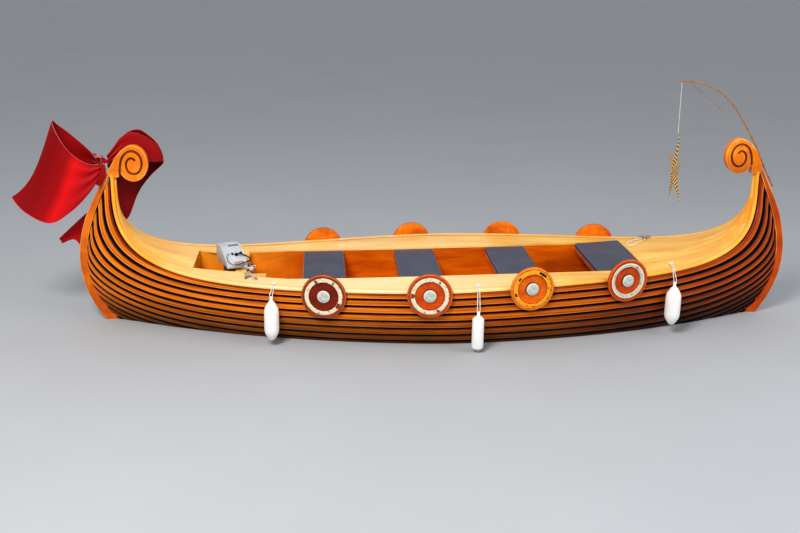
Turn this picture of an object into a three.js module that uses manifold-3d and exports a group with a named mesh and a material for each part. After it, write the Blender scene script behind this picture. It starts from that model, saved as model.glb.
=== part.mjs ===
// A clinker built pleasure boat with scroll heads, round shields and a small outboard in a well.
// Millimetres, +X to the bow, +Y to port, +Z up, origin amidships on the waterline.
import * as THREE from "three";
import { mergeVertices } from "three/addons/utils/BufferGeometryUtils.js";
import Module from "manifold-3d";

// The hull's quarter is drawn by four lines, sheer to keel, that steer each section as a Bezier curve.
// length: half length, breadth: half breadth, height: above water amidships, rise: to the end,
// full and blunt: powers of the breadth's taper, sweep and hook: powers of the rise.
const hullLines = [
  { length: 2531, breadth: 766, height: 446, rise: 726, full: 1.455, blunt: 0.618, sweep: 5.779, hook: 3.536 },
  { length: 2847, breadth: 785, height: 228, rise: 321, full: 1.652, blunt: 0.827, sweep: 4.334, hook: 1.688 },
  { length: 2838, breadth: 734, height: -195, rise: 477, full: 1.875, blunt: 1.318, sweep: 5.639, hook: 1.25 },
  { length: 2421, breadth: 0, height: -216, rise: 46, full: 2, blunt: 1, sweep: 3.706, hook: 1 },
];
const strakeCount = 14;
const lap = 9;
const plankThickness = 16;
const gap = 0.3;
const deckSeam = 1.2;
// The sheer stands a little higher toward the bow.
const sheerTilt = 0.0215;
const sheerTiltLength = 2850;
const fullTiltHeight = 450;

// Stems, keel and scroll heads
const halfPlankEnd = 22;
const stemHalf = 30;
const stemBand = 60;
const neckBand = 37;
const keelDepth = 56;
const keelHalf = 21;
const keelTop = 25;
const scroll = { x: 2366, z: 1275, halfWidth: 112, halfHeight: 139, tilt: 29 };
const neckInside = 2476;

// Deck and cockpit
const deckThickness = 14;
const deckProud = 5;
const crownAmidships = 0;
const crownAtEnds = 26;
const rimWidth = 30;
const rimDrop = 10;
const cockpitFore = 1567;
const cockpitAft = -1522;
const wellAft = -1920;
const wellFore = -1537;
// Half widths of the open well and cockpit along the deck
const openingEdge = [
  { x: wellAft, half: 237 },
  { x: -1605, half: 315 },
  { x: -1200, half: 400 },
  { x: cockpitFore, half: 400 },
];
const liningThickness = 10;
const soleTop = 105;
const soleThickness = 15;

// Motor and its well
const motorX = -1684;
const trunk = { aft: -1780, fore: -1600, half: 70, wall: 10, bottom: -224 };
const wellFloorTop = 200;
const capBoard = { aft: -1605, top: 440, thickness: 16 };
const propellerZ = -360;

const wasm = await Module();
wasm.setup();

const boat = new THREE.Group();
const paints = {
  plank: { color: 0xc9701c, roughness: 0.35 },
  plankDark: { color: 0x8e3d12, roughness: 0.4 },
  stem: { color: 0xd9701a, roughness: 0.35 },
  deck: { color: 0xecc27a, roughness: 0.3 },
  rim: { color: 0xf3b93c, roughness: 0.3 },
  ply: { color: 0xc05a14, roughness: 0.35 },
  vinyl: { color: 0x55586a, roughness: 0.6 },
  shieldRed: { color: 0x8c3016, roughness: 0.35 },
  shieldOrange: { color: 0xd9741c, roughness: 0.35 },
  fender: { color: 0xf2f0ea, roughness: 0.5 },
  rope: { color: 0xe6e2d8, roughness: 0.9 },
  ribbon: { color: 0xc4161c, roughness: 0.5 },
  cane: { color: 0x9c5a24, roughness: 0.6 },
  straw: { color: 0xc49a4c, roughness: 0.8 },
  motor: { color: 0xcfd3d6, roughness: 0.4 },
  metal: { color: 0x9a9ea3, roughness: 0.35, metalness: 0.8 },
  black: { color: 0x16171a, roughness: 0.6 },
};

function addPiece(name, geometry, paint) {
  const mesh = new THREE.Mesh(geometry, new THREE.MeshStandardMaterial(paints[paint]));
  mesh.name = name;
  boat.add(mesh);
  return mesh;
}

// Shape helpers

function meshFrom(points, triangles) {
  const geometry = new THREE.BufferGeometry();
  geometry.setAttribute("position", new THREE.Float32BufferAttribute(points.flatMap((p) => p.toArray()), 3));
  let volume = 0;
  for (const [a, b, c] of triangles) {
    volume += points[a].dot(new THREE.Vector3().crossVectors(points[b], points[c]));
  }
  const facing = volume < 0 ? triangles.map(([a, b, c]) => [a, c, b]) : triangles;
  geometry.setIndex(facing.flat());
  return geometry;
}

// Triangles over a ring that lies nearly in one plane
function flatCap(ring) {
  const normal = new THREE.Vector3();
  ring.forEach((p, i) => normal.add(new THREE.Vector3().crossVectors(p, ring[(i + 1) % ring.length])));
  normal.normalize();
  const helper = Math.abs(normal.x) > 0.7 ? new THREE.Vector3(0, 0, 1) : new THREE.Vector3(1, 0, 0);
  const right = new THREE.Vector3().crossVectors(helper, normal).normalize();
  const up = new THREE.Vector3().crossVectors(normal, right);
  const outline = ring.map((p) => new THREE.Vector2(p.dot(right), p.dot(up)));
  return THREE.ShapeUtils.triangulateShape(outline, []);
}

// Triangles between the two long edges of a ring, which changes over after the first `count` points
function stripCap(ring, count) {
  const triangles = [];
  const last = ring.length - 1;
  let i = 0;
  let j = last;
  while (i < count - 1 || j > count) {
    const outer = i / (count - 1);
    const inner = (last - j) / (last - count);
    if (outer <= inner && i < count - 1) {
      triangles.push([i, i + 1, j]);
      i += 1;
    } else {
      triangles.push([i, j - 1, j]);
      j -= 1;
    }
  }
  return triangles;
}

// Joins rings of equal count into one closed body
function loft(rings, edgeCount) {
  const count = rings[0].length;
  const triangles = [];
  for (let i = 0; i + 1 < rings.length; i++) {
    for (let j = 0; j < count; j++) {
      const a = i * count + j;
      const b = i * count + ((j + 1) % count);
      triangles.push([a, b, b + count], [a, b + count, a + count]);
    }
  }
  const cap = (ring) => (edgeCount ? stripCap(ring, edgeCount) : flatCap(ring));
  const end = (rings.length - 1) * count;
  cap(rings[0]).forEach(([a, b, c]) => triangles.push([a, c, b]));
  cap(rings.at(-1)).forEach(([a, b, c]) => triangles.push([end + a, end + b, end + c]));
  return meshFrom(rings.flat(), triangles);
}

function box(x0, x1, y0, y1, z0, z1) {
  const geometry = new THREE.BoxGeometry(x1 - x0, y1 - y0, z1 - z0);
  geometry.translate((x0 + x1) / 2, (y0 + y1) / 2, (z0 + z1) / 2);
  return geometry;
}

// An outline of [x, z] pairs, made a board that stands fore and aft
function boardAlong(outline, y0, y1) {
  const shape = new THREE.Shape(outline.map(([x, z]) => new THREE.Vector2(x, z)));
  const geometry = new THREE.ExtrudeGeometry(shape, { depth: y1 - y0, bevelEnabled: false });
  geometry.rotateX(Math.PI / 2);
  geometry.translate(0, y1, 0);
  return geometry;
}

// An outline of [y, z] pairs, made a block that runs along X
function blockAcross(outline, x0, x1) {
  const ring = (x) => outline.map(([y, z]) => new THREE.Vector3(x, y, z));
  return loft([ring(x0), ring(x1)]);
}

// An outline of [x, y] pairs, made a flat board
function boardFlat(outline, z0, z1, hole) {
  const shape = new THREE.Shape(outline.map(([x, y]) => new THREE.Vector2(x, y)));
  if (hole) shape.holes.push(new THREE.Path(hole.map(([x, y]) => new THREE.Vector2(x, y))));
  const geometry = new THREE.ExtrudeGeometry(shape, { depth: z1 - z0, bevelEnabled: false });
  geometry.translate(0, 0, z0);
  return geometry;
}

function tube(points, radius, sides, steps) {
  const path = new THREE.CatmullRomCurve3(points, false, "centripetal");
  const section = new THREE.Shape();
  section.absarc(0, 0, radius, 0, Math.PI * 2, false);
  return new THREE.ExtrudeGeometry(section, { steps, extrudePath: path, curveSegments: sides / 2 });
}

// A turned piece about +Z from [radius, z] pairs
function turned(profile, segments) {
  const geometry = new THREE.LatheGeometry(profile.map(([r, z]) => new THREE.Vector2(r, z)), segments);
  geometry.rotateX(Math.PI / 2);
  return geometry;
}

function solid(geometry) {
  const bare = geometry.clone();
  bare.deleteAttribute("normal");
  bare.deleteAttribute("uv");
  const merged = mergeVertices(bare, 1e-4);
  const corners = Array.from(merged.index.array);
  const kept = [];
  for (let i = 0; i < corners.length; i += 3) {
    const [a, b, c] = corners.slice(i, i + 3);
    if (a !== b && b !== c && c !== a) kept.push(a, b, c);
  }
  return new wasm.Manifold(new wasm.Mesh({
    numProp: 3,
    vertProperties: new Float32Array(merged.attributes.position.array),
    triVerts: new Uint32Array(kept),
  }));
}

function fromSolid(body) {
  const mesh = body.getMesh();
  const geometry = new THREE.BufferGeometry();
  geometry.setAttribute("position", new THREE.Float32BufferAttribute(mesh.vertProperties, 3));
  geometry.setIndex(Array.from(mesh.triVerts));
  return geometry;
}

function fused(geometries) {
  return fromSolid(geometries.map(solid).reduce((all, one) => all.add(one)));
}

// Hull surface

function linePoint(line, t) {
  const breadth = line.breadth * Math.max(0, 1 - t ** line.full) ** line.blunt + halfPlankEnd;
  const climb = line.rise * (1 - Math.max(0, 1 - t ** line.sweep) ** (1 / line.hook));
  return new THREE.Vector3(line.length * t, breadth, line.height + climb);
}

function lifted(point) {
  const share = THREE.MathUtils.clamp(point.z / fullTiltHeight, 0, 1);
  const climb = sheerTilt * point.x * (1 - (point.x / sheerTiltLength) ** 2) * share;
  return new THREE.Vector3(point.x, point.y, point.z + climb);
}

// along: -1 at the stern to 1 at the bow, down: 0 at the sheer to 1 at the keel
function hullPoint(along, down) {
  const t = Math.abs(along);
  const [a, b, c, d] = hullLines.map((line) => linePoint(line, t));
  const up = 1 - down;
  const point = a.multiplyScalar(up ** 3)
    .addScaledVector(b, 3 * up * up * down)
    .addScaledVector(c, 3 * up * down * down)
    .addScaledVector(d, down ** 3);
  if (along < 0) point.x = -point.x;
  return lifted(point);
}

function hullNormal(along, down) {
  const step = 0.0001;
  const a0 = Math.max(-1, along - step);
  const a1 = Math.min(1, along + step);
  const d0 = Math.max(0, down - step);
  const d1 = Math.min(1, down + step);
  const alongWay = hullPoint(a1, down).sub(hullPoint(a0, down)).normalize();
  const downWay = hullPoint(along, d1).sub(hullPoint(along, d0)).normalize();
  return alongWay.cross(downWay).normalize();
}

function alongAt(x) {
  return x / hullLines[0].length;
}

// The end stations crowd together where the sheer sweeps up the neck.
const neckStations = [0.9, 0.945, 0.975, 0.99, 0.9973, 0.9994, 0.99994, 0.999996, 1];
const foreStations = [0, 0.06, 0.14, 0.25, 0.37, 0.5, alongAt(cockpitFore), 0.73, 0.825, ...neckStations];
const aftStations = [0.06, 0.14, 0.25, 0.36, alongAt(1200), alongAt(1605), alongAt(1920), 0.835, ...neckStations];
const sideStations = [...aftStations.map((t) => -t).reverse(), ...foreStations];

// Sheer line, where the deck meets the planking

function sheer(along) {
  return hullPoint(along, 0);
}

function sheerWay(along) {
  const step = 0.0002;
  return sheer(Math.min(1, along + step)).sub(sheer(Math.max(-1, along - step))).normalize();
}

function deckNormal(along) {
  const way = sheerWay(along);
  return new THREE.Vector3(-way.z, 0, way.x).normalize();
}

// Widths measured straight across the boat grow where the side runs in toward the stem.
function spread(along) {
  return Math.min(2, 1 / Math.sqrt(1 - sheerWay(along).y ** 2));
}

function rimInside(along) {
  return Math.min(rimWidth * spread(along), sheer(along).y / 2);
}

function deckPoint(along, y, below) {
  const edge = sheer(along);
  const crown = (crownAmidships + crownAtEnds * along * along) * (1 - (y / edge.y) ** 2);
  return new THREE.Vector3(edge.x, y, edge.z).addScaledVector(deckNormal(along), deckProud + crown - below);
}

function openingHalf(x) {
  const i = openingEdge.findIndex((row) => row.x >= x);
  if (i <= 0) return openingEdge[0].half;
  const a = openingEdge[i - 1];
  const b = openingEdge[i];
  return THREE.MathUtils.mapLinear(x, a.x, b.x, a.half, b.half);
}

function mirrored(ring, side) {
  return ring.map((p) => new THREE.Vector3(p.x, p.y * side, p.z));
}

const sides = [["port", 1], ["starboard", -1]];

// Keel in two lengths, with the motor's leg between them

function keelRing(x) {
  const line = hullLines[3];
  const point = lifted(linePoint(line, Math.abs(x) / line.length));
  const low = point.z - keelDepth;
  const high = point.z + keelTop;
  return [[-1, low], [1, low], [1, high], [-1, high]].map(([s, z]) => new THREE.Vector3(x, s * keelHalf, z));
}
const keelEnd = 2414;
const keelMain = loft([-1530, -900, 0, 900, 1500, 1900, 2180, keelEnd].map(keelRing));
const keelAft = loft([-keelEnd, -2180, -1930].map(keelRing));
addPiece("keel_main", keelMain, "plankDark");
addPiece("keel_aft", keelAft, "plankDark");

// Planking: lapped strakes outside, smooth inside, cut where the keel and the motor's trunk come through

function plankTop(along) {
  const step = 0.001;
  const fall = sheer(along).sub(hullPoint(along, step)).dot(deckNormal(along)) / step;
  return rimDrop / fall;
}

// Where the planks' inner face comes up to the same height as the outer one
function insideTop(along) {
  const edge = sheer(along);
  const up = deckNormal(along);
  let high = 0;
  let low = 0.5;
  for (let i = 0; i < 24; i++) {
    const middle = (high + low) / 2;
    const inner = hullPoint(along, middle).addScaledVector(hullNormal(along, middle), -plankThickness);
    if (inner.sub(edge).dot(up) > -rimDrop) high = middle;
    else low = middle;
  }
  return low;
}

function lapAt(along) {
  return Math.max(1, lap * Math.min(1, (1 - Math.abs(along)) / 0.02));
}

function plankRing(along, side) {
  const top = plankTop(along);
  const proud = lapAt(along);
  const outside = [];
  for (let k = 0; k < strakeCount; k++) {
    const foot = (k + 1) / strakeCount;
    outside.push(hullPoint(along, k === 0 ? top : k / strakeCount));
    outside.push(hullPoint(along, foot).addScaledVector(hullNormal(along, foot), proud));
  }
  const innerTop = insideTop(along);
  const inside = [1, 0.86, 0.7, 0.5, 0.25, 0].map((share) => {
    const down = innerTop + share * (1 - innerTop);
    return hullPoint(along, down).addScaledVector(hullNormal(along, down), -plankThickness);
  });
  return mirrored([...outside, ...inside], side);
}

const keelSeat = solid(box(-keelEnd - 20, keelEnd + 20, -keelHalf - gap, keelHalf + gap, -400, -130));
const trunkHole = solid(box(trunk.aft - gap, trunk.fore + gap, -trunk.half - gap, trunk.half + gap, -400, 0));
for (const [name, side] of sides) {
  const shell = solid(loft(sideStations.map((along) => plankRing(along, side)), 2 * strakeCount));
  addPiece(`planking_${name}`, fromSolid(shell.subtract(keelSeat).subtract(trunkHole)), "plank");
}

// Stems with their scroll heads

function stemOutline(end) {
  const seam = 6;
  const neckSeam = 11;
  const rabbet = [];
  const outer = [];
  for (let k = 0; k <= strakeCount; k++) {
    const down = k / strakeCount;
    const here = hullPoint(end, down);
    const before = hullPoint(end, Math.max(0, down - 0.01));
    const after = hullPoint(end, Math.min(1, down + 0.01));
    const way = after.sub(before).normalize();
    const out = new THREE.Vector2(-way.z * end, way.x * end);
    const band = THREE.MathUtils.lerp(neckBand, stemBand, Math.min(1, down / 0.2));
    const off = k === 0 ? neckSeam : seam;
    rabbet.push([here.x + out.x * off, here.z + out.y * off]);
    outer.push([here.x + out.x * band, here.z + out.y * band]);
  }
  const place = (x, z) => [x * end, z + scroll.tilt * end];
  const shoulder = [place(2529, 1264), place(2495, 1324), place(2453, 1373)];
  const turn = [];
  for (let degrees = 65; degrees <= 332; degrees += 20.5) {
    const a = THREE.MathUtils.degToRad(degrees);
    turn.push(place(scroll.x + scroll.halfWidth * Math.cos(a), scroll.z + scroll.halfHeight * Math.sin(a)));
  }
  const joint = rabbet[0][1] + 6;
  const keel = lifted(linePoint(hullLines[3], 1));
  return [
    [keel.x * end, keel.z - keelDepth],
    ...outer.reverse(),
    ...shoulder,
    ...turn,
    [neckInside * end, joint],
    [rabbet[0][0], joint],
    ...rabbet,
  ];
}
for (const [name, end] of [["bow", 1], ["stern", -1]]) {
  addPiece(`stem_${name}`, boardAlong(stemOutline(end), -stemHalf, stemHalf), "stem");
}

// Decks

function endDeckRing(along) {
  const half = sheer(along).y - rimInside(along) - deckSeam;
  const top = [-1, -0.6, -0.2, 0.2, 0.6, 1].map((w) => deckPoint(along, half * w, 0));
  const under = [1, 0, -1].map((w) => deckPoint(along, half * w, deckThickness));
  return [...top, ...under];
}
for (const [name, end, edge] of [["foredeck", 1, cockpitFore], ["aft_deck", -1, wellAft]]) {
  const start = alongAt(edge);
  const first = endDeckRing(start);
  first.forEach((p) => { p.x = edge + gap * end; });
  const rest = sideStations.filter((t) => t * end > start * end + 0.001);
  const rings = rest.map(endDeckRing);
  const all = end > 0 ? [first, ...rings] : [...rings, first];
  addPiece(name, loft(all), "deck");
}

function sideDeckRing(along, side) {
  const x = sheer(along).x;
  const inner = openingHalf(x);
  const outer = sheer(along).y - rimInside(along) - deckSeam;
  const at = (y, below) => new THREE.Vector3(x, y * side, deckPoint(along, y, below).z);
  const tops = [inner, (2 * inner + outer) / 3, (inner + 2 * outer) / 3, outer];
  return [...tops.map((y) => at(y, 0)), at(outer, deckThickness), at(inner, deckThickness)];
}
const besideOpening = sideStations.filter((t) => t >= alongAt(wellAft) && t <= alongAt(cockpitFore));
for (const [name, side] of sides) {
  addPiece(`side_deck_${name}`, loft(besideOpening.map((t) => sideDeckRing(t, side))), "deck");
}

// Rounded rim along each sheer: reach outboard and height, or the rim's inner edge and height
const rimOutside = [[11, -8], [13, 4], [7, 14], [-12, 16]];
const rimInner = [11, -8];
function rimRing(along, side) {
  const edge = sheer(along);
  const up = deckNormal(along);
  const inside = rimInside(along);
  const at = (reach, height) =>
    new THREE.Vector3(edge.x, edge.y + reach, edge.z).addScaledVector(up, height);
  const outer = rimOutside.map(([reach, height]) =>
    at(reach > 0 ? reach * spread(along) : (reach * inside) / rimWidth, height));
  return mirrored([...outer, ...rimInner.map((height) => at(-inside, height))], side);
}
for (const [name, side] of sides) {
  addPiece(`rim_${name}`, loft(sideStations.map((along) => rimRing(along, side))), "rim");
}

// Cockpit: linings, sole, bulkheads, thwarts and cushions

const soleFoot = soleTop - soleThickness;
function liningRing(x, side) {
  const inner = openingHalf(x);
  const outer = inner + liningThickness;
  const high = deckPoint(alongAt(x), outer, deckThickness).z - 2;
  const corners = [[inner, soleFoot], [outer, soleFoot], [outer, high], [inner, high]];
  return corners.map(([y, z]) => new THREE.Vector3(x, y * side, z));
}
const liningX = [wellAft, -1605, -1200, -600, 0, 600, 1200, cockpitFore];
for (const [name, side] of sides) {
  addPiece(`lining_${name}`, loft(liningX.map((x) => liningRing(x, side))), "ply");
}
function floorOutline(xs) {
  const edge = xs.map((x) => [x, openingHalf(x) - gap]);
  return [...edge, ...edge.map(([x, y]) => [x, -y]).reverse()];
}
addPiece("sole", boardFlat(floorOutline([cockpitAft + gap, -1200, cockpitFore - gap]), soleFoot, soleTop), "ply");
const bulkheadHalf = 400;
const foreHigh = deckPoint(alongAt(cockpitFore + 12), bulkheadHalf, deckThickness).z - 4;
addPiece("bulkhead_fore", box(cockpitFore + gap, cockpitFore + 12, -bulkheadHalf, bulkheadHalf, soleFoot, foreHigh), "ply");
const capFoot = capBoard.top - capBoard.thickness;
const capHalf = 314;
addPiece("bulkhead_aft", box(wellFore, cockpitAft, -capHalf, capHalf, soleFoot, capFoot - gap), "ply");
addPiece("cap_board", box(capBoard.aft, cockpitAft, -capHalf, capHalf, capFoot, capBoard.top), "deck");
const padOutline = [[cockpitAft + gap, -320], [-1365, -356], [-1365, -288], [cockpitAft + gap, -288]];
addPiece("quarter_pad", boardFlat(padOutline, 427, 445), "deck");

// Well box: floor, end wall and the trunk that the motor's leg goes down through
const trunkOutline = (inset) => {
  const half = trunk.half - inset;
  return [
    [trunk.aft + inset, -half],
    [trunk.fore - inset, -half],
    [trunk.fore - inset, half],
    [trunk.aft + inset, half],
  ];
};
const wellEnd = wellAft - 10;
const wellEndHalf = 236;
const wellFloor = [
  [wellEnd, -wellEndHalf],
  [wellAft, -wellEndHalf],
  [-1605, -capHalf],
  [wellFore - gap, -capHalf],
  [wellFore - gap, capHalf],
  [-1605, capHalf],
  [wellAft, wellEndHalf],
  [wellEnd, wellEndHalf],
];
const wellFloorFoot = wellFloorTop - soleThickness;
const wellEndHigh = deckPoint(alongAt(wellEnd), wellEndHalf, deckThickness).z - 8;
addPiece("motor_well", fused([
  boardFlat(wellFloor, wellFloorFoot, wellFloorTop, trunkOutline(trunk.wall)),
  boardFlat(trunkOutline(0), trunk.bottom, wellFloorTop, trunkOutline(trunk.wall)),
  box(wellEnd, wellAft - gap, -wellEndHalf, wellEndHalf, wellFloorFoot, wellEndHigh),
]), "ply");

// Benches, stern to bow: aft and fore edges and the cushion's top at each
const benches = [
  { aft: -1088, fore: -754, topAft: 427, topFore: 433 },
  { aft: -345, fore: -11, topAft: 436, topFore: 442 },
  { aft: 420, fore: 754, topAft: 454, topFore: 462 },
  { aft: 1185, fore: 1560, topAft: 484, topFore: 510 },
];
const cushionThickness = 45;
const thwartThickness = 18;
const cushionHalf = 393;
const thwartHalf = 399.5;
benches.forEach(({ aft, fore, topAft, topFore }, i) => {
  const seat = topAft - cushionThickness;
  const cushion = [[aft + 2, seat], [fore - 2, seat], [fore - 2, topFore], [aft + 2, topAft]];
  addPiece(`cushion_${i + 1}`, boardAlong(cushion, -cushionHalf, cushionHalf), "vinyl");
  const board = box(aft, fore, -thwartHalf, thwartHalf, seat - gap - thwartThickness, seat - gap);
  addPiece(`thwart_${i + 1}`, board, "ply");
});

// Shields hang on the rim, facing outboard
const shieldRadius = 167;
const shieldOut = 30;
// x: place, drop: how far the middle hangs below the sheer
const shieldPlaces = {
  port: [{ x: -926, drop: 57 }, { x: -158, drop: 56 }, { x: 630, drop: 50 }, { x: 1406, drop: 54 }],
  starboard: [{ x: -926, drop: 31 }, { x: -158, drop: 13 }, { x: 600, drop: -1 }, { x: 1355, drop: 5 }],
};
const shieldProfile = [
  [0, 0], [shieldRadius, 0], [shieldRadius, 12], [152, 20], [120, 20], [109, 10], [50, 9], [44, 22], [0, 28],
];
for (const [name, side] of sides) {
  shieldPlaces[name].forEach(({ x, drop }, i) => {
    const along = alongAt(x);
    const edge = sheer(along);
    const chord = sheer(along + 0.03).sub(sheer(along - 0.03));
    const shield = turned(shieldProfile, 20);
    shield.rotateX((-Math.PI / 2) * side);
    const mesh = addPiece(`shield_${name}_${i + 1}`, shield, i % 2 ? "shieldOrange" : "shieldRed");
    mesh.position.set(x, (edge.y + shieldOut) * side, edge.z - drop);
    mesh.rotation.z = Math.atan2(chord.y, chord.x) * side;
  });
}

// Fenders on the starboard side and the lines that they hang by
// x: place, shoulder: where the neck starts, head: top of the neck, taper: length of its conical ends,
// tieX: where its line is made fast, inboard: how far the knot lies in from the sheer
const fenders = [
  { x: -1312, radius: 55, foot: 50, shoulder: 355, head: 389, taper: 70, tieX: -1294, inboard: 50 },
  { x: 197, radius: 44, foot: 16, shoulder: 284, head: 318, taper: 24, tieX: 209, inboard: 83 },
  { x: 1746, radius: 59, foot: 92, shoulder: 398, head: 436, taper: 70, tieX: 1780, inboard: 118 },
];
const fenderOff = 30;
const lineRadius = 3;
fenders.forEach(({ x, radius, foot, shoulder, head, taper, tieX, inboard }, i) => {
  const edge = sheer(alongAt(x));
  const tie = sheer(alongAt(tieX));
  const y = edge.y + fenderOff + radius;
  const profile = [
    [0, foot], [radius * 0.3, foot + 4], [radius * 0.66, foot + taper * 0.4], [radius * 0.92, foot + taper * 0.8],
    [radius, foot + taper * 1.2], [radius, shoulder - taper * 1.2], [radius * 0.92, shoulder - taper * 0.8],
    [radius * 0.66, shoulder - taper * 0.4], [radius * 0.34, shoulder], [13, shoulder + 6], [12, head - 4], [8, head],
    [0, head],
  ];
  addPiece(`fender_${i + 1}`, turned(profile, 16), "fender").position.set(x, -y, 0);
  const overRim = tie.z + 16 + lineRadius + 4;
  const deck = deckPoint(alongAt(tieX), tie.y - inboard, 0).z + lineRadius + 3;
  const placeAt = (out) => [tieX + ((x - tieX) * (out + inboard)) / (y - tie.y + inboard), -tie.y - out];
  const line = [
    [...placeAt(-inboard), deck],
    [...placeAt(-46), deck + 3],
    [...placeAt(-20), overRim],
    [...placeAt(4), overRim],
    [...placeAt(24), tie.z + 6],
    [...placeAt(36), tie.z - 12],
    [x, -y, Math.max(head + 24, (head + tie.z) / 2)],
    [x, -y, head + gap],
  ].map((p) => new THREE.Vector3(...p));
  addPiece(`fender_line_${i + 1}`, tube(line, lineRadius, 8, 12), "rope");
});

// Cleat on the port side of the foredeck, and the loop of line on it
const cleat = { x: 1785, y: 398, length: 110, height: 32 };
const cleatFoot = deckPoint(alongAt(cleat.x + 20), cleat.y, 0).z + 1;
const cleatOutline = [
  [-18, 0], [18, 0], [15, 20], [cleat.length / 2, 24], [cleat.length / 2, cleat.height],
  [-cleat.length / 2, cleat.height], [-cleat.length / 2, 24], [-15, 20],
].map(([x, z]) => [cleat.x + x, cleatFoot + z]);
addPiece("deck_cleat", boardAlong(cleatOutline, cleat.y - 8, cleat.y + 8), "metal");
const ropeRadius = 5;
const ropeRoute = [
  [1768, 384], [1745, 392], [1710, 386], [1672, 355], [1634, 316], [1604, 275], [1593, 243],
  [1604, 221], [1629, 217], [1659, 236], [1694, 270], [1731, 309], [1765, 346], [1782, 366], [1786, 383],
];
const ropePoints = ropeRoute.map(([x, y]) => {
  const deck = deckPoint(alongAt(x), y, 0);
  return new THREE.Vector3(x, y, deck.z + ropeRadius + 2.5);
});
addPiece("deck_rope", tube(ropePoints, ropeRadius, 8, 40), "rope");

// Ribbon bow tied to the stern's scroll head. Each loop is a band from the knot out to a fold and back:
// rows of the band's upper and lower edge as [x, y, z].
function ribbonBand(rows, thickness) {
  const rings = rows.map(([upper, lower], i) => {
    const before = rows[Math.max(0, i - 1)];
    const after = rows[Math.min(rows.length - 1, i + 1)];
    const a = new THREE.Vector3(...upper);
    const b = new THREE.Vector3(...lower);
    const way = new THREE.Vector3(...after[0]).add(new THREE.Vector3(...after[1]))
      .sub(new THREE.Vector3(...before[0])).sub(new THREE.Vector3(...before[1]));
    const side = b.clone().sub(a).cross(way).normalize().multiplyScalar(thickness / 2);
    return [a.clone().add(side), b.clone().add(side), b.clone().sub(side), a.clone().sub(side)];
  });
  return loft(rings);
}
const ribbonThickness = 8;
const aftLoop = [
  [[-2602, -50, 1242], [-2600, -52, 1158]],
  [[-2692, -78, 1252], [-2700, -84, 1020]],
  [[-2797, -99, 1330], [-2832, -115, 891]],
  [[-2868, -95, 1421], [-3000, -106, 799]],
  [[-2928, -46, 1518], [-3194, -44, 869]],
  [[-2952, 18, 1567], [-3302, 22, 975]],
  [[-2931, 88, 1526], [-3221, 97, 891]],
  [[-2859, 148, 1447], [-3018, 159, 821]],
  [[-2771, 146, 1368], [-2841, 154, 918]],
  [[-2691, 97, 1306], [-2718, 99, 1085]],
  [[-2658, 41, 1281], [-2654, 39, 1211]],
];
const foreLoop = [
  [[-2564, 42, 1297], [-2564, 42, 1226]],
  [[-2515, 58, 1359], [-2515, 62, 1228]],
  [[-2462, 74, 1428], [-2444, 81, 1232]],
  [[-2382, 85, 1465], [-2338, 95, 1234]],
  [[-2285, 106, 1429], [-2241, 113, 1234]],
  [[-2206, 168, 1363], [-2165, 168, 1215]],
  [[-2259, 231, 1403], [-2260, 231, 1060]],
  [[-2347, 221, 1465], [-2385, 221, 860]],
  [[-2435, 168, 1447], [-2450, 168, 775]],
  [[-2515, 115, 1359], [-2500, 115, 815]],
  [[-2568, 66, 1290], [-2569, 66, 1120]],
];
const ribbonTail = [
  [[-2638, 53, 1174], [-2614, 53, 1138]],
  [[-2727, 58, 997], [-2665, 58, 935]],
  [[-2815, 64, 847], [-2744, 64, 750]],
  [[-2965, 71, 657], [-2868, 71, 574]],
];
addPiece("bow_loop_aft", ribbonBand(aftLoop, ribbonThickness), "ribbon");
addPiece("bow_loop_fore", ribbonBand(foreLoop, ribbonThickness), "ribbon");
addPiece("bow_tail", ribbonBand(ribbonTail, ribbonThickness), "ribbon");
const knot = new THREE.SphereGeometry(1, 12, 8);
knot.scale(41, 35, 46);
knot.translate(-2612, 0, 1255);
const sternBoard = solid(boardAlong(stemOutline(-1), -stemHalf - gap, stemHalf + gap));
addPiece("bow_knot", fromSolid(solid(knot).subtract(sternBoard)), "ribbon");

// Cane rod on the bow stem, and the star that hangs from its tip
const rodRadius = 7;
const rodPoints = [
  [2672, 1056], [2647, 1103], [2612, 1165], [2578, 1224], [2543, 1299], [2512, 1362], [2472, 1426], [2428, 1496],
  [2379, 1571], [2335, 1634], [2282, 1701], [2222, 1760], [2155, 1809], [2090, 1844], [2018, 1870], [1965, 1881],
  [1904, 1886], [1831, 1884],
].map(([x, z]) => new THREE.Vector3(x, 0, z));
addPiece("star_rod", tube(rodPoints, rodRadius, 6, 32), "cane");
const star = { x: 1858, z: 1180, radius: 303, waist: 0.32, half: 12, turn: 82 };
const stringEnds = [
  new THREE.Vector3(1852, 0, 1884 - rodRadius - 0.5),
  new THREE.Vector3(star.x, 0, star.z + star.radius + 0.5),
];
addPiece("star_string", tube(stringEnds, 2, 8, 4), "rope");
const starShape = new THREE.Shape();
for (let i = 0; i < 10; i++) {
  const reach = star.radius * (i % 2 ? star.waist : 1);
  const angle = Math.PI / 2 + (i * Math.PI) / 5;
  if (i === 0) starShape.moveTo(0, reach);
  else starShape.lineTo(reach * Math.cos(angle), reach * Math.sin(angle));
}
const starGeometry = new THREE.ExtrudeGeometry(starShape, { depth: star.half * 2, bevelEnabled: false });
starGeometry.translate(0, 0, -star.half);
starGeometry.rotateX(Math.PI / 2);
const starMesh = addPiece("straw_star", starGeometry, "straw");
starMesh.position.set(star.x, 0, star.z);
starMesh.rotation.z = THREE.MathUtils.degToRad(star.turn);

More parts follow.
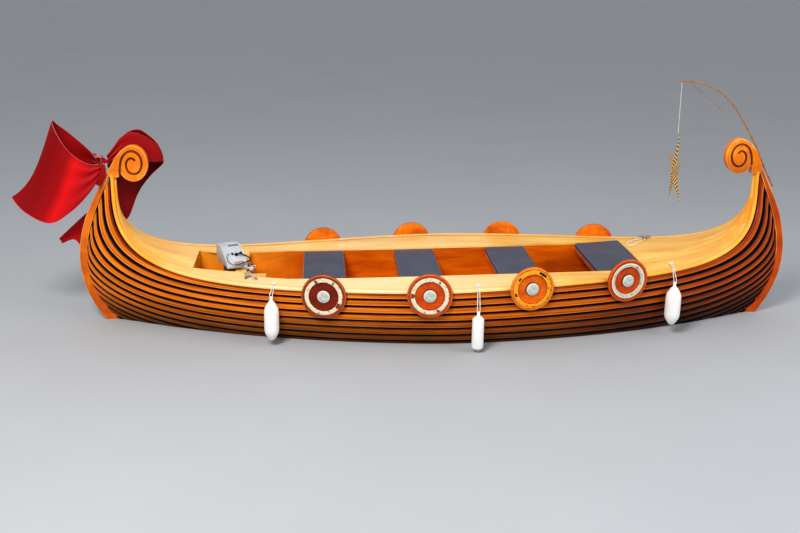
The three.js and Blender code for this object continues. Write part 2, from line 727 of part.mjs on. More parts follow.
// Outboard. The clamp and swivel tube stay; the head, leg and gearcase turn in it; the propeller spins.
const swivel = { outer: 28, inner: 21, low: 250, high: 455 };
const clampOutline = [
  [motorX + 24, 330], [capBoard.aft - 1.5, 330], [capBoard.aft - 1.5, 441], [cockpitAft + 1.5, 441],
  [cockpitAft + 1.5, 390], [cockpitAft + 13, 390], [cockpitAft + 13, 453], [motorX + 24, 453],
];
const swivelTube = turned([
  [swivel.inner, swivel.low], [swivel.outer, swivel.low], [swivel.outer, swivel.high], [swivel.inner, swivel.high],
  [swivel.inner, swivel.low],
], 16);
swivelTube.translate(motorX, 0, 0);
addPiece("motor_clamp", fused([boardAlong(clampOutline, -46, 46), swivelTube]), "metal");
// The head is drawn square to the boat, then turned on the leg.
const headFoot = 461;
const headTurn = THREE.MathUtils.degToRad(22);
const headLeft = motorX - 66;
const headRight = motorX + 94;
const headFront = -222;
const headProfile = [
  [58, headFoot], [58, 578], [40, 600], [-53, 600], [-168, 540], [-214, 500], [headFront, 482], [headFront, headFoot],
];
const headGeometry = blockAcross(headProfile, headLeft, headRight);
headGeometry.translate(-motorX, 0, 0);
headGeometry.rotateZ(headTurn);
headGeometry.translate(motorX, 0, 0);
addPiece("motor_head", headGeometry, "motor");
const leg = new THREE.CylinderGeometry(15, 15, headFoot - gap - propellerZ, 16);
leg.rotateX(Math.PI / 2);
leg.translate(motorX, 0, (headFoot - gap + propellerZ) / 2);
const pod = turned([[0, -112], [22, -112], [32, -72], [34, 36], [25, 80], [10, 106], [0, 110]], 16);
pod.rotateY(Math.PI / 2);
pod.translate(motorX, 0, propellerZ);
const finOutline = [[-75, -20], [35, -20], [-18, -112], [-62, -112]];
const fin = boardAlong(finOutline.map(([x, z]) => [motorX + x, propellerZ + z]), -3, 3);
addPiece("motor_leg", fused([leg, pod, fin]), "metal");
const tillerRoute = [[-1531.4, -188.7, 472], [-1522.4, -211, 473], [-1502, -252, 480], [-1481, -288, 486]];
const grip = new THREE.SphereGeometry(18, 10, 7);
grip.translate(-1475, -298, 488);
const tiller = tube(tillerRoute.map((p) => new THREE.Vector3(...p)), 9, 8, 5);
addPiece("motor_tiller", fused([tiller, grip]), "motor");
const cableRoute = [
  [-1653, -146, 560], [-1658, -160, 566], [-1666, -192, 552], [-1656, -222, 524], [-1625, -234, 505],
  [-1583, -222, 497], [-1548, -200, 502], [-1515, -178, 508], [-1492, -152, 512], [-1500, -130, 526],
  [-1540, -140, 552], [-1590, -146, 564], [-1604, -142, 560],
];
addPiece("motor_cable", tube(cableRoute.map((p) => new THREE.Vector3(...p)), 3.5, 6, 26), "black");
const hub = turned([[0, -30], [12, -30], [20, -12], [20, 0], [0, 0]], 16);
hub.rotateY(Math.PI / 2);
const bladeReach = 98;
const blades = [0, 1].map((i) => {
  const shape = new THREE.Shape();
  shape.moveTo(-11, 9);
  shape.bezierCurveTo(-36, 40, -27, bladeReach - 5, 0, bladeReach);
  shape.bezierCurveTo(23, bladeReach - 12, 21, 40, 11, 9);
  const blade = new THREE.ExtrudeGeometry(shape, { depth: 4, bevelEnabled: false, curveSegments: 6 });
  blade.translate(0, 0, -2);
  blade.rotateY(THREE.MathUtils.degToRad(52));
  blade.rotateX(Math.PI / 2 + i * Math.PI);
  blade.translate(-15, 0, 0);
  return blade;
});
const propeller = addPiece("propeller", fused([hub, ...blades]), "metal");
propeller.position.set(motorX - 112 - 5, 0, propellerZ);

export default boat;
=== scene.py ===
# %% [markdown]
# # A varnished clinker gondola
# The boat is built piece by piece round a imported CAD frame. X runs to the bow, Y to port and Z up, in
# metres, with the origin amidships on the waterline. The frame is loaded first, so that every later piece
# can be set where the frame says.

# %% Load the frame
import math

import bmesh
import bpy
import numpy as np
from mathutils import Matrix, Vector, noise


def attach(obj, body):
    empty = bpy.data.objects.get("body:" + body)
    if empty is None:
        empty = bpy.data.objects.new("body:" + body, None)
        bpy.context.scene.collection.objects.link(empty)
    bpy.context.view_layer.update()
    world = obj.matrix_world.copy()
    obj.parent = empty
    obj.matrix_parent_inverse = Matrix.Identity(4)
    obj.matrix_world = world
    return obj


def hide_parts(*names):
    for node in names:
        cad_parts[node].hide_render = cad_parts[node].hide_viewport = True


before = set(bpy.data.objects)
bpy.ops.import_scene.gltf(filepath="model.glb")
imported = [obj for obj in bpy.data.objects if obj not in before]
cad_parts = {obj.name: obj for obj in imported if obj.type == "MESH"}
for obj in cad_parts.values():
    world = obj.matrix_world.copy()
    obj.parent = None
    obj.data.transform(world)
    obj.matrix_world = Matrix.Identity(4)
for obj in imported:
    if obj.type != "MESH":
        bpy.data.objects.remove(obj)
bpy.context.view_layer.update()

# %% [markdown]
# ## Camera
# The picture was taken from starboard, about 8 m away and nearly 3 m above the water. A camera can be aimed
# with angles, but three directions make its matrix exactly: where its right, its up and its view point.

# %% Set the camera
picture_width = 800
focal_pixels = 1056.5
camera_place = Vector((-0.951, -8.052, 2.876))
camera_right = Vector((0.99714, -0.07411, 0.01477))
camera_view = Vector((0.07518, 0.95327, -0.29264))

camera_data = bpy.data.cameras.new("picture_camera")
camera_data.sensor_width = 36
camera_data.lens = camera_data.sensor_width * focal_pixels / picture_width
camera = bpy.data.objects.new("picture_camera", camera_data)
bpy.context.scene.collection.objects.link(camera)
bpy.context.scene.camera = camera
camera_up = camera_right.cross(camera_view).normalized()
turn = Matrix((camera_right, camera_up, -camera_view)).transposed()
camera.matrix_world = Matrix.Translation(camera_place) @ turn.to_4x4()
print("lens", round(camera_data.lens, 2), "mm")

# %% [markdown]
# ## The hull's surface
# Nothing on this boat is flat: decks, rims, planks and stems all follow one surface. It could be drawn by
# hand with a lattice, but four guide lines from sheer to keel say it exactly, and every section between
# them is a Bezier curve. The numbers are the frame's own, in metres.

# %% Define the hull's surface
HULL_LINES = [
    dict(zip(("length", "breadth", "height", "rise", "full", "blunt", "sweep", "hook"), numbers))
    for numbers in (
        (2.531, 0.766, 0.446, 0.726, 1.455, 0.618, 5.779, 3.536),
        (2.847, 0.785, 0.228, 0.321, 1.652, 0.827, 4.334, 1.688),
        (2.838, 0.734, -0.195, 0.477, 1.875, 1.318, 5.639, 1.25),
        (2.421, 0.0, -0.216, 0.046, 2, 1, 3.706, 1),
    )
]
STRAKES = 14
PLANK_END = 0.022


def line_point(line, t):
    """A point on one guide line, t from 0 amidships to 1 at the stem."""
    breadth = line["breadth"] * max(0, 1 - t ** line["full"]) ** line["blunt"] + PLANK_END
    climb = line["rise"] * (1 - max(0, 1 - t ** line["sweep"]) ** (1 / line["hook"]))
    return Vector((line["length"] * t, breadth, line["height"] + climb))


def lifted(point):
    """The sheer stands a little higher toward the bow."""
    share = min(1, max(0, point.z / 0.45))
    point.z += 0.0215 * point.x * (1 - (point.x / 2.85) ** 2) * share
    return point


def hull_point(along, down):
    """along: -1 at the stern to 1 at the bow, down: 0 at the sheer to 1 at the keel, port side."""
    a, b, c, d = [line_point(line, abs(along)) for line in HULL_LINES]
    up = 1 - down
    point = a * up**3 + b * (3 * up * up * down) + c * (3 * up * down * down) + d * down**3
    if along < 0:
        point.x = -point.x
    return lifted(point)


def hull_normal(along, down, step=0.0001):
    """The way out of the hull."""
    lengthwise = hull_point(min(1, along + step), down) - hull_point(max(-1, along - step), down)
    girthwise = hull_point(along, min(1, down + step)) - hull_point(along, max(0, down - step))
    return lengthwise.cross(girthwise).normalized()


def sheer(along):
    return hull_point(along, 0)


def sheer_way(along, step=0.0002):
    return (sheer(min(1, along + step)) - sheer(max(-1, along - step))).normalized()


def deck_up(along):
    way = sheer_way(along)
    return Vector((-way.z, 0, way.x)).normalized()


def even_stations(start, end, count):
    """Places along the side, evenly spaced by the sheer's own length, which sweeps up steeply at the ends."""
    crowded = np.linspace(-1, 1, 4001)
    table = np.sign(crowded) * (1 - (1 - np.abs(crowded)) ** 5)
    points = np.array([sheer(float(t)) for t in table])
    walked = np.concatenate([[0], np.cumsum(np.linalg.norm(np.diff(points, axis=0), axis=1))])
    first, last = np.interp([start, end], table, walked)
    return [float(t) for t in np.interp(np.linspace(first, last, count), walked, table)]


print("beam at the sheer", round(2 * sheer(0).y, 3), "m, sheer height", round(sheer(0).z, 3), "m")

# %% [markdown]
# ## Rings, skins and routes
# Planks, rails, ropes and ribbons are all one section carried along a path. A grid from
# `bmesh.ops.create_grid` is the quickest start: each of its corners is moved to a point of a ring, the two
# long edges are merged and the ends filled. The grid's UV map then says how far along and how far round
# each point is, in metres, and grain or weave can follow the piece.

# %% Helpers for skins over rings
def skin(rings, across=None, closed=True):
    """Quads over rings of points. U runs along the piece in metres and V across it."""
    count = len(rings[0])
    around = count if closed else count - 1
    along = [0.0]
    for before, after in zip(rings, rings[1:]):
        along.append(along[-1] + sum((b - a).length for a, b in zip(before, after)) / count)
    if across is None:
        middle = rings[len(rings) // 2]
        across = [0.0]
        for j in range(around):
            across.append(across[-1] + (middle[(j + 1) % count] - middle[j]).length)
    across = list(across) + [across[0]]
    bm = bmesh.new()
    grain = bm.loops.layers.uv.new("grain")
    bmesh.ops.create_grid(bm, x_segments=len(rings) - 1, y_segments=around, size=0.5)
    place = {v: (round((v.co.x + 0.5) * (len(rings) - 1)), round((v.co.y + 0.5) * around)) for v in bm.verts}
    for face in bm.faces:
        for loop in face.loops:
            i, j = place[loop.vert]
            loop[grain].uv = (along[i], across[j])
    for vert, (i, j) in place.items():
        vert.co = rings[i][j % count]
    if closed:
        bmesh.ops.remove_doubles(bm, verts=bm.verts[:], dist=1e-6)
        bmesh.ops.holes_fill(bm, edges=bm.edges[:], sides=0)
    bmesh.ops.recalc_face_normals(bm, faces=bm.faces[:])
    return bm


def smooth_route(points, per_span):
    """Points on a smooth curve that passes through the given ones."""
    ends = [2 * points[0] - points[1], *points, 2 * points[-1] - points[-2]]
    route = []
    for a, b, c, d in zip(ends, ends[1:], ends[2:], ends[3:]):
        for k in range(per_span):
            t = k / per_span
            bend = (2 * a - 5 * b + 4 * c - d) * t * t + (3 * b - a - 3 * c + d) * t**3
            route.append(0.5 * (2 * b + (c - a) * t + bend))
    return [*route, points[-1]]


def rings_round(route, radius, sides=10, strands=0, lay=0.05, depth=0.12):
    """Rings round a route. A rope has strands that turn once in each length of lay."""
    rings = []
    side = None
    walked = 0.0
    for i, point in enumerate(route):
        way = (route[min(i + 1, len(route) - 1)] - route[max(i - 1, 0)]).normalized()
        if side is None:
            side = way.orthogonal().normalized()
        side = (side - way * side.dot(way)).normalized()
        other = way.cross(side)
        walked += (point - route[max(i - 1, 0)]).length
        reach = radius(i / (len(route) - 1)) if callable(radius) else radius
        ring = []
        for j in range(sides):
            a = math.tau * j / sides
            wave = math.cos(strands * a + math.tau * walked / lay)
            bulge = 1 - depth * (1 + wave) / 2 if strands else 1
            ring.append(point + (side * math.cos(a) + other * math.sin(a)) * reach * bulge)
        rings.append(ring)
    return rings


def millimetres(*numbers):
    return Vector(numbers) / 1000


print("skin and route helpers ready")

# %% [markdown]
# Each finished piece becomes an object at the origin, rides on a body of the frame and hides the frame's
# nodes it stands for. This could be written out for every piece, but one function keeps all of them alike.
# Sharp corners are kept sharp by angle, and the rest is shaded smooth.

# %% Helpers that turn a bmesh into a piece
def linked(name, data):
    """An object at the origin, in the scene."""
    made = bpy.data.objects.new(name, data)
    bpy.context.scene.collection.objects.link(made)
    return made


def mesh_of(name, bm, *finishes):
    mesh = bpy.data.meshes.new(name)
    bm.to_mesh(mesh)
    bm.free()
    for finish in finishes:
        mesh.materials.append(finish)
    return mesh


def launch(name, bm, finishes, stands_for=(), body="hull", sharp=35):
    """Makes a bmesh a finished piece of the boat."""
    finishes = finishes if isinstance(finishes, list) else [finishes]
    mesh = mesh_of(name, bm, *finishes)
    mesh.shade_smooth()
    mesh.set_sharp_from_angle(angle=math.radians(sharp))
    piece = linked(name, mesh)
    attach(piece, body)
    if stands_for:
        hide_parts(*stands_for)
    print(name, len(mesh.polygons), "faces")
    return piece


def evaluated(piece):
    """The mesh that a piece's modifiers make."""
    bpy.context.view_layer.update()
    return bpy.data.meshes.new_from_object(piece.evaluated_get(bpy.context.evaluated_depsgraph_get()))


print("piece helpers ready")

# %% [markdown]
# Blocks, prisms, balls and turned shapes come up again and again. They could be made with the menu's
# primitives and edited, but operators on a bmesh do the same in a line each. Every helper hands its bmesh
# on, so that the next one can ease, move or add to it.

# %% Helpers for plain shapes
def outward(bm):
    bmesh.ops.recalc_face_normals(bm, faces=bm.faces[:])
    return bm


def moved(bm, *way):
    bmesh.ops.translate(bm, vec=way, verts=bm.verts[:])
    return bm


def placed(bm, matrix):
    bmesh.ops.transform(bm, matrix=matrix, verts=bm.verts[:])
    return bm


def ease(bm, width, segments=2, angle=30, edges=None):
    """Rounds the given edges, or else every edge that is sharper than an angle."""
    if edges is None:
        edges = [e for e in bm.edges if len(e.link_faces) == 2 and e.calc_face_angle(0) > math.radians(angle)]
    bmesh.ops.bevel(
        bm, geom=edges, offset=width, offset_type="OFFSET", affect="EDGES",
        segments=segments, profile=0.5, material=-1, clamp_overlap=True,
    )
    return bm


def block(low, high, round_over=0.003):
    """A board or block between two corners, with eased edges."""
    bm = bmesh.new()
    bmesh.ops.create_cube(bm, size=1)
    low, high = Vector(low), Vector(high)
    bmesh.ops.scale(bm, vec=high - low, verts=bm.verts[:])
    return ease(moved(bm, *((low + high) / 2)), round_over)


def prism(corners, way):
    """A flat outline carried along a straight way."""
    bm = bmesh.new()
    face = bm.faces.new([bm.verts.new(corner) for corner in corners])
    grown = bmesh.ops.extrude_face_region(bm, geom=[face])
    bmesh.ops.translate(bm, vec=way, verts=[g for g in grown["geom"] if isinstance(g, bmesh.types.BMVert)])
    return outward(bm)


def ball(radius, place, subdivisions=2, stretch=(1, 1, 1)):
    bm = bmesh.new()
    bmesh.ops.create_icosphere(bm, subdivisions=subdivisions, radius=radius)
    bmesh.ops.scale(bm, vec=stretch, verts=bm.verts[:])
    return moved(bm, *place)


def turned(profile, steps=48):
    """Spins [radius, height] pairs round the Z axis."""
    bm = bmesh.new()
    corners = [bm.verts.new((r, 0, z)) for r, z in profile]
    edges = [bm.edges.new(pair) for pair in zip(corners, corners[1:])]
    bmesh.ops.spin(
        bm, geom=corners + edges, cent=(0, 0, 0), axis=(0, 0, 1), angle=math.tau, steps=steps, use_merge=True,
    )
    bmesh.ops.remove_doubles(bm, verts=bm.verts[:], dist=1e-6)
    return outward(bm)


def added(bm, other):
    """Puts another bmesh's faces into the first one."""
    carrier = mesh_of("carrier", other)
    bm.from_mesh(carrier)
    bpy.data.meshes.remove(carrier)
    return bm


print("shape helpers ready")

# %% [markdown]
# ## Varnished wood
# Almost everything here is varnished wood. Its look has three layers: a base colour that drifts over
# hand-widths, fine streaks of grain that run with the board, and a glossy coat. Nodes can be wired by hand in
# the shader editor, but a small class that makes and links them keeps each finish to a few readable lines.

# %% A class for finishes
class Finish:
    """A material being made. Each value given to it is a socket, or else a plain number or colour."""

    def __init__(self, name, roughness, **constants):
        self.material = bpy.data.materials.new(name)
        self.material.use_nodes = True
        self.tree = self.material.node_tree
        self.shader = self.tree.nodes["Principled BSDF"]
        self.give(self.shader, {"Roughness": roughness})
        self.give(self.shader, {key.replace("_", " "): value for key, value in constants.items()})

    def give(self, node, values):
        """Links sockets to a node's inputs and writes constants on the inputs themselves."""
        for key, value in values.items():
            socket = node.inputs[key]
            if hasattr(value, "node"):
                self.tree.links.new(value, socket)
            else:
                socket.default_value = (*value, 1) if socket.type == "RGBA" else value

    def node(self, kind, values=(), **settings):
        made = self.tree.nodes.new("ShaderNode" + kind)
        for key, value in settings.items():
            setattr(made, key, value)
        self.give(made, dict(values))
        return made

    def maths(self, operation, *values, clamp=False):
        return self.node("Math", enumerate(values), operation=operation, use_clamp=clamp).outputs[0]

    def product(self, first, second):
        return self.maths("MULTIPLY", first, second)

    def sloped(self, value, factor, offset):
        """value * factor + offset, kept between 0 and 1."""
        return self.maths("MULTIPLY_ADD", value, factor, offset, clamp=True)

    def mixed(self, share, first, second, blend="MIX"):
        values = {0: share, 6: first, 7: second}
        return self.node("Mix", values, data_type="RGBA", blend_type=blend).outputs[2]

    def tinted(self, first, second):
        """One colour times another."""
        return self.mixed(1.0, first, second, "MULTIPLY")

    def ramp(self, source, *stops):
        """Colours along a value. Each stop has a place and a colour or a grey level."""
        made = self.node("ValToRGB", {"Fac": source})
        band = made.color_ramp
        while len(band.elements) < len(stops):
            band.elements.new(0.5)
        for element, (place, colour) in zip(band.elements, stops):
            element.position = place
            element.color = (*colour, 1) if isinstance(colour, tuple) else (colour, colour, colour, 1)
        return made.outputs["Color"]

    def coordinates(self, kind="Object"):
        return self.node("TexCoord").outputs[kind]

    def parts(self, vector):
        return self.node("SeparateXYZ", {"Vector": vector}).outputs

    def along(self, vector, way):
        """How far a place lies along a direction."""
        return self.node("VectorMath", {0: vector, 1: way}, operation="DOT_PRODUCT").outputs["Value"]

    def noise(self, vector, scale, detail=4.0, rough=0.55, distortion=0.0, stretch=None):
        """Values that drift. Stretching the coordinates makes streaks of them."""
        if stretch:
            vector = self.node("Mapping", {"Vector": vector, "Scale": stretch}).outputs["Vector"]
        return self.node("TexNoise", {
            "Vector": vector, "Scale": scale, "Detail": detail, "Roughness": rough, "Distortion": distortion,
        }).outputs["Fac"]

    def done(self, colour, height, strength, distance):
        """Connects the colour and a bump, and hands over the material."""
        bump = self.node("Bump", {"Strength": strength, "Distance": distance, "Height": height})
        self.give(self.shader, {"Base Color": colour, "Normal": bump.outputs["Normal"]})
        return self.material


print("finish class ready")

# %% [markdown]
# One recipe serves every varnished piece: two noises make the drift and the grain, a ramp gives three tones
# of the wood, and a glossy coat lies on top. Pieces differ in tones, in the run of the grain, in wear and in
# painted shade and highlights.

# %% The varnish
def varnished(name, dark, middle, light, coordinates="Object", grain_scale=(1.2, 26, 26), blotch=2.2,
              blotch_strength=0.5, roughness=0.42, coat=0.25, extra=None):
    """Varnished wood with its grain along the first coordinate. extra adds further marks to the colour, such
    as wear, bleaching, joints, painted shade and painted highlights.
    """
    f = Finish(name, roughness, Coat_Weight=coat, Coat_Roughness=0.2, Specular_IOR_Level=0.15)
    vector = f.coordinates(coordinates)
    streaks = f.noise(vector, 3.0, 8.0, 0.6, 0.35, grain_scale)
    drift = f.noise(vector, blotch, 3.0, 0.5, 0.6, (0.7, 2.4, 2.4))
    colour = f.ramp(f.mixed(0.5, drift, streaks), (0.3, dark), (0.5, middle), (0.7, light))
    colour = f.tinted(colour, f.ramp(drift, (0.3, 1 - blotch_strength), (0.62, 1)))
    if extra:
        colour = extra(f, vector, colour)
    return f.done(colour, streaks, 0.15, 0.002)


print("varnish ready")

# %% [markdown]
# The planks' finish needs more than grain. Each strake has its own tone, painted shade blackens the channel
# above it and the underside of its lower edge, and a painted highlight lines that edge. Toward the bow the
# boat is redder and each strake is painted darker at its top, and the lowest strakes are a darker brown. The
# UV map's whole number is the strake and its fraction the place across it, so one material can do it all.

# %% Wear and painted shade of the planks
def strake_wear_and_shade(f, vector, colour):
    line = f.parts(vector)["Y"]
    across = f.maths("FRACT", line)
    own = f.node("TexWhiteNoise", {"W": f.maths("FLOOR", line)}, noise_dimensions="1D").outputs["Value"]
    colour = f.tinted(colour, f.ramp(own, (0.0, (0.84, 0.78, 0.72)), (1.0, (1.08, 1.06, 1.05))))
    place = f.coordinates()
    where = f.parts(place)
    # Toward the bow the strakes are redder and carry painted shade: darker at the top of each, lighter lower
    # down.
    bow_red_and_shade = f.sloped(where["X"], 0.32, 0.26)
    shaded = f.ramp(across, (0.42, (0.3, 0.14, 0.12)), (0.8, (0.72, 0.45, 0.34)))
    colour = f.mixed(bow_red_and_shade, colour, f.tinted(colour, shaded))

    # The strakes are darker toward the bottom and toward the bow, most of all the lowest ones.
    darkening_height = f.maths("MULTIPLY_ADD", f.noise(place, 3.0), 0.12, where["Z"])
    darkening_height = f.maths("MULTIPLY_ADD", f.sloped(where["X"], 0.4, -0.3), -0.12, darkening_height)
    low_darkening = f.ramp(darkening_height, (0.04, (0.13, 0.13, 0.2)), (0.14, (0.36, 0.42, 0.7)), (0.32, (1, 1, 1)))
    colour = f.tinted(colour, low_darkening)

    # A painted highlight along each strake's lower edge, fainter toward the bow.
    lip_highlight = f.ramp(across, (0.745, 0), (0.775, 1), (0.825, 1), (0.85, 0))
    share = f.product(lip_highlight, f.sloped(f.noise(vector, 3.0, stretch=(4, 0.5, 1)), 1.1, 0.0))
    share = f.product(share, f.maths("MULTIPLY_ADD", bow_red_and_shade, -0.7, 1.0))
    colour = f.mixed(share, colour, f.tinted(low_darkening, (0.98, 0.5, 0.14)))

    # Painted shade: the channel at the top of each strake is blackened as if under the lap above, wider
    # toward both ends, and the underside of the lower edge is darkened as well.
    wider = f.maths("ADD", f.sloped(where["X"], -0.035, -0.035), f.sloped(where["X"], 0.05, -0.04))
    ragged = f.maths("MULTIPLY_ADD", f.noise(vector, 3.0, stretch=(6, 3, 1)), 0.07, across)
    ragged = f.maths("SUBTRACT", ragged, wider)
    colour = f.tinted(colour, f.ramp(
        ragged, (0.315, (0.008, 0.005, 0.003)), (0.36, (0.16, 0.08, 0.05)), (0.42, (0.8, 0.72, 0.68)),
        (0.5, (1, 1, 1)), (0.88, (1, 1, 1)), (0.925, (0.06, 0.03, 0.02)),
    ))
    f.give(f.shader, {"Roughness": f.ramp(ragged, (0.34, 0.95), (0.45, 0.4))})

    chips = f.maths("GREATER_THAN", f.noise(vector, 4.0, 3.0, 0.6, stretch=(10, 2.2, 1)), 0.72)
    chips = f.product(chips, f.maths("GREATER_THAN", across, 0.66))
    return f.mixed(f.product(chips, 0.8), colour, (0.8, 0.68, 0.56))


print("plank wear ready")

# %% [markdown]
# Decks, panels and stems wear in their own ways: the sun has bleached the decks beside the cockpit, the
# panels glow beside the motor, and the bow's timber is redder. Each is a few nodes added to the same varnish.
# Rim, decks and planks take their grain from the UV map, flat boards take it from their place in the boat.

# %% Finishes for planks, decks and boards
def bleached(f, vector, colour):
    """Varnish that has bleached beside the cockpit and stayed golden toward the ends."""
    place = f.coordinates()
    where = f.parts(place)
    middle = f.product(f.maths("ADD", where["X"], 0.65), 0.62)
    pale = f.sloped(f.product(middle, middle), -1.0, 1.0)
    share = f.product(pale, f.sloped(where["Y"], -0.5, 0.72))
    colour = f.mixed(share, colour, f.mixed(0.75, colour, (0.99, 0.75, 0.43)))
    ends = f.sloped(f.maths("ABSOLUTE", where["X"]), 2.2, -4.4)
    patchy = f.ramp(f.noise(place, 7.0), (0.46, 0), (0.6, 1))
    return f.mixed(f.product(ends, patchy), colour, (0.9, 0.38, 0.025))


def deck_joints(f, vector, colour):
    """Bleached varnish, and the joints between the deck's boards."""
    across_board = f.maths("FRACT", f.maths("DIVIDE", f.parts(vector)["Y"], 0.088))
    joint = f.maths("LESS_THAN", across_board, 0.022)
    return f.mixed(f.product(joint, 0.3), bleached(f, vector, colour), (0.45, 0.18, 0.03))


def panel_light(f, vector, colour):
    """The panels beside the motor are brighter than those between the benches."""
    share = f.sloped(f.parts(vector)["X"], -2.0, -1.95)
    return f.mixed(f.product(share, f.noise(vector, 5.0, 3.0)), colour, (0.98, 0.42, 0.03))


def bow_shade(f, vector, colour):
    """The bow's timber is a darker red than the stern's."""
    share = f.maths("GREATER_THAN", f.parts(vector)["X"], 0.0)
    return f.mixed(share, colour, f.tinted(colour, (0.7, 0.48, 0.5)))


upright_grain = (9, 20, 2.2)
plank_wood = varnished(
    "plank_wood", (0.5, 0.105, 0.003), (0.78, 0.2, 0.004), (0.9, 0.3, 0.015), "UV", (1.6, 5, 5),
    blotch_strength=0.3, coat=0.05, extra=strake_wear_and_shade,
)
rub_wood = varnished(
    "rub_wood", (0.2, 0.02, 0.003), (0.36, 0.045, 0.005), (0.52, 0.09, 0.01), "UV", (2, 30, 30), coat=0.1,
)
deck_wood = varnished(
    "deck_wood", (0.8, 0.36, 0.05), (0.93, 0.51, 0.09), (0.98, 0.64, 0.18), "UV", (0.8, 9, 9),
    blotch_strength=0.16, roughness=0.38, extra=deck_joints,
)
rim_wood = varnished(
    "rim_wood", (0.8, 0.33, 0.02), (0.92, 0.44, 0.045), (0.96, 0.56, 0.12), "UV", (1.2, 30, 30),
    blotch_strength=0.14, coat=0.3, roughness=0.3, extra=bleached,
)
stem_wood = varnished(
    "stem_wood", (0.5, 0.085, 0.003), (0.68, 0.14, 0.004), (0.8, 0.22, 0.012), grain_scale=upright_grain,
    blotch_strength=0.22, coat=0.2, roughness=0.34, extra=bow_shade,
)
head_wood = varnished(
    "head_wood", (0.6, 0.12, 0.003), (0.8, 0.2, 0.005), (0.9, 0.33, 0.025), grain_scale=upright_grain,
    blotch_strength=0.22, roughness=0.34,
)
# Paler varnish on the eased edges of stems and heads: partly wear, partly a painted highlight where they
# catch the light.
edge_wear_and_highlight = varnished(
    "edge_wear_and_highlight", (0.8, 0.3, 0.03), (0.92, 0.46, 0.1), (0.97, 0.62, 0.26), grain_scale=upright_grain,
)
groove_shade = varnished(
    "groove_shade", (0.1, 0.02, 0.006), (0.18, 0.045, 0.012), (0.28, 0.08, 0.02), coat=0.0,
)
panel_wood = varnished(
    "panel_wood", (0.42, 0.06, 0.002), (0.68, 0.135, 0.002), (0.86, 0.23, 0.006), grain_scale=(1.3, 9, 9),
    blotch=1.6, blotch_strength=0.3, roughness=0.36, coat=0.12, extra=panel_light,
)
cap_wood = varnished(
    "cap_wood", (0.78, 0.36, 0.06), (0.92, 0.52, 0.14), (0.97, 0.66, 0.26), grain_scale=(22, 1.4, 22),
    blotch_strength=0.14,
)
keel_wood = varnished("keel_wood", (0.1, 0.03, 0.01), (0.2, 0.06, 0.02), (0.3, 0.1, 0.03))
print("wood finishes made:", len([m for m in bpy.data.materials if m.users == 0]))

# %% [markdown]
# ## Plainer finishes
# Vinyl, rope, plastic and paint need less. Each still gets a fine bump and a little dirt, because a
# perfectly even colour reads as a placeholder.

# %% Finishes for soft goods, rope and metal
def plain_finish(name, colour, roughness, fine_scale, bump, dirt=0.15, dirt_scale=5.0, **constants):
    f = Finish(name, roughness, **constants)
    place = f.coordinates()
    dirty = tuple(c * (1 - dirt) for c in colour)
    shade = f.ramp(f.noise(place, dirt_scale, 5.0, 0.6), (0.35, dirty), (0.6, colour))
    return f.done(shade, f.noise(place, fine_scale, 2.0), bump, 0.001)


fender_vinyl = plain_finish("fender_vinyl", (0.88, 0.87, 0.84), 0.38, 90, 0.1, 0.08, 14, Coat_Weight=0.2)
rope_fibre = plain_finish("rope_fibre", (0.8, 0.78, 0.72), 0.85, 900, 0.5, 0.25, 40)
pale_caulk = plain_finish("pale_caulk", (0.68, 0.42, 0.22), 0.5, 120, 0.1, 0.2, 8)
galvanised = plain_finish("galvanised", (0.42, 0.43, 0.44), 0.4, 200, 0.15, 0.4, 25, Metallic=0.85)
motor_paint = plain_finish("motor_paint", (0.5, 0.53, 0.56), 0.4, 160, 0.06, 0.12, 16, Coat_Weight=0.15)
# Dark grey: the tiller rest's own foot, and painted shade in the groove across the motor's top.
motor_dark_and_shade = plain_finish("motor_dark_and_shade", (0.17, 0.18, 0.19), 0.5, 160, 0.1, 0.3, 20)
motor_blush = plain_finish("motor_blush", (0.42, 0.22, 0.22), 0.5, 160, 0.1, 0.3, 20)
motor_teal = plain_finish("motor_teal", (0.12, 0.4, 0.34), 0.45, 160, 0.1, 0.2, 20)
rubber = plain_finish("rubber", (0.012, 0.012, 0.014), 0.55, 220, 0.2, 0.2, 20)
cane_skin = plain_finish("cane_skin", (0.42, 0.2, 0.07), 0.55, 260, 0.3, 0.45, 30)
cockpit_vinyl = plain_finish("cockpit_vinyl", (0.066, 0.071, 0.108), 0.5, 420, 0.25, 0.25, 4)
# The piping is paler than the cover: a painted highlight along the pads' edges.
piping_vinyl_highlit = plain_finish("piping_vinyl_highlit", (0.12, 0.125, 0.17), 0.45, 300, 0.1, 0.2, 8)
print("plain finishes made")

# %% [markdown]
# ## The loop of line on the foredeck
# A limp white rope is made fast on the cleat, lies on the deck in one loose loop and comes back to the
# cleat. It is a laid rope, so its section has three strands that turn as it goes. The route is the frame's
# own.

# %% Lay the deck rope
def spread(along):
    return min(2, 1 / math.sqrt(1 - sheer_way(along).y ** 2))


def rim_inside(along):
    return min(0.030 * spread(along), sheer(along).y / 2)


def deck_point(along, y, below=0.0):
    """A point on the crowned deck, y metres off the centre line."""
    edge = sheer(along)
    crown = 0.026 * along * along * (1 - (y / edge.y) ** 2)
    return Vector((edge.x, y, edge.z)) + deck_up(along) * (0.005 + crown - below)


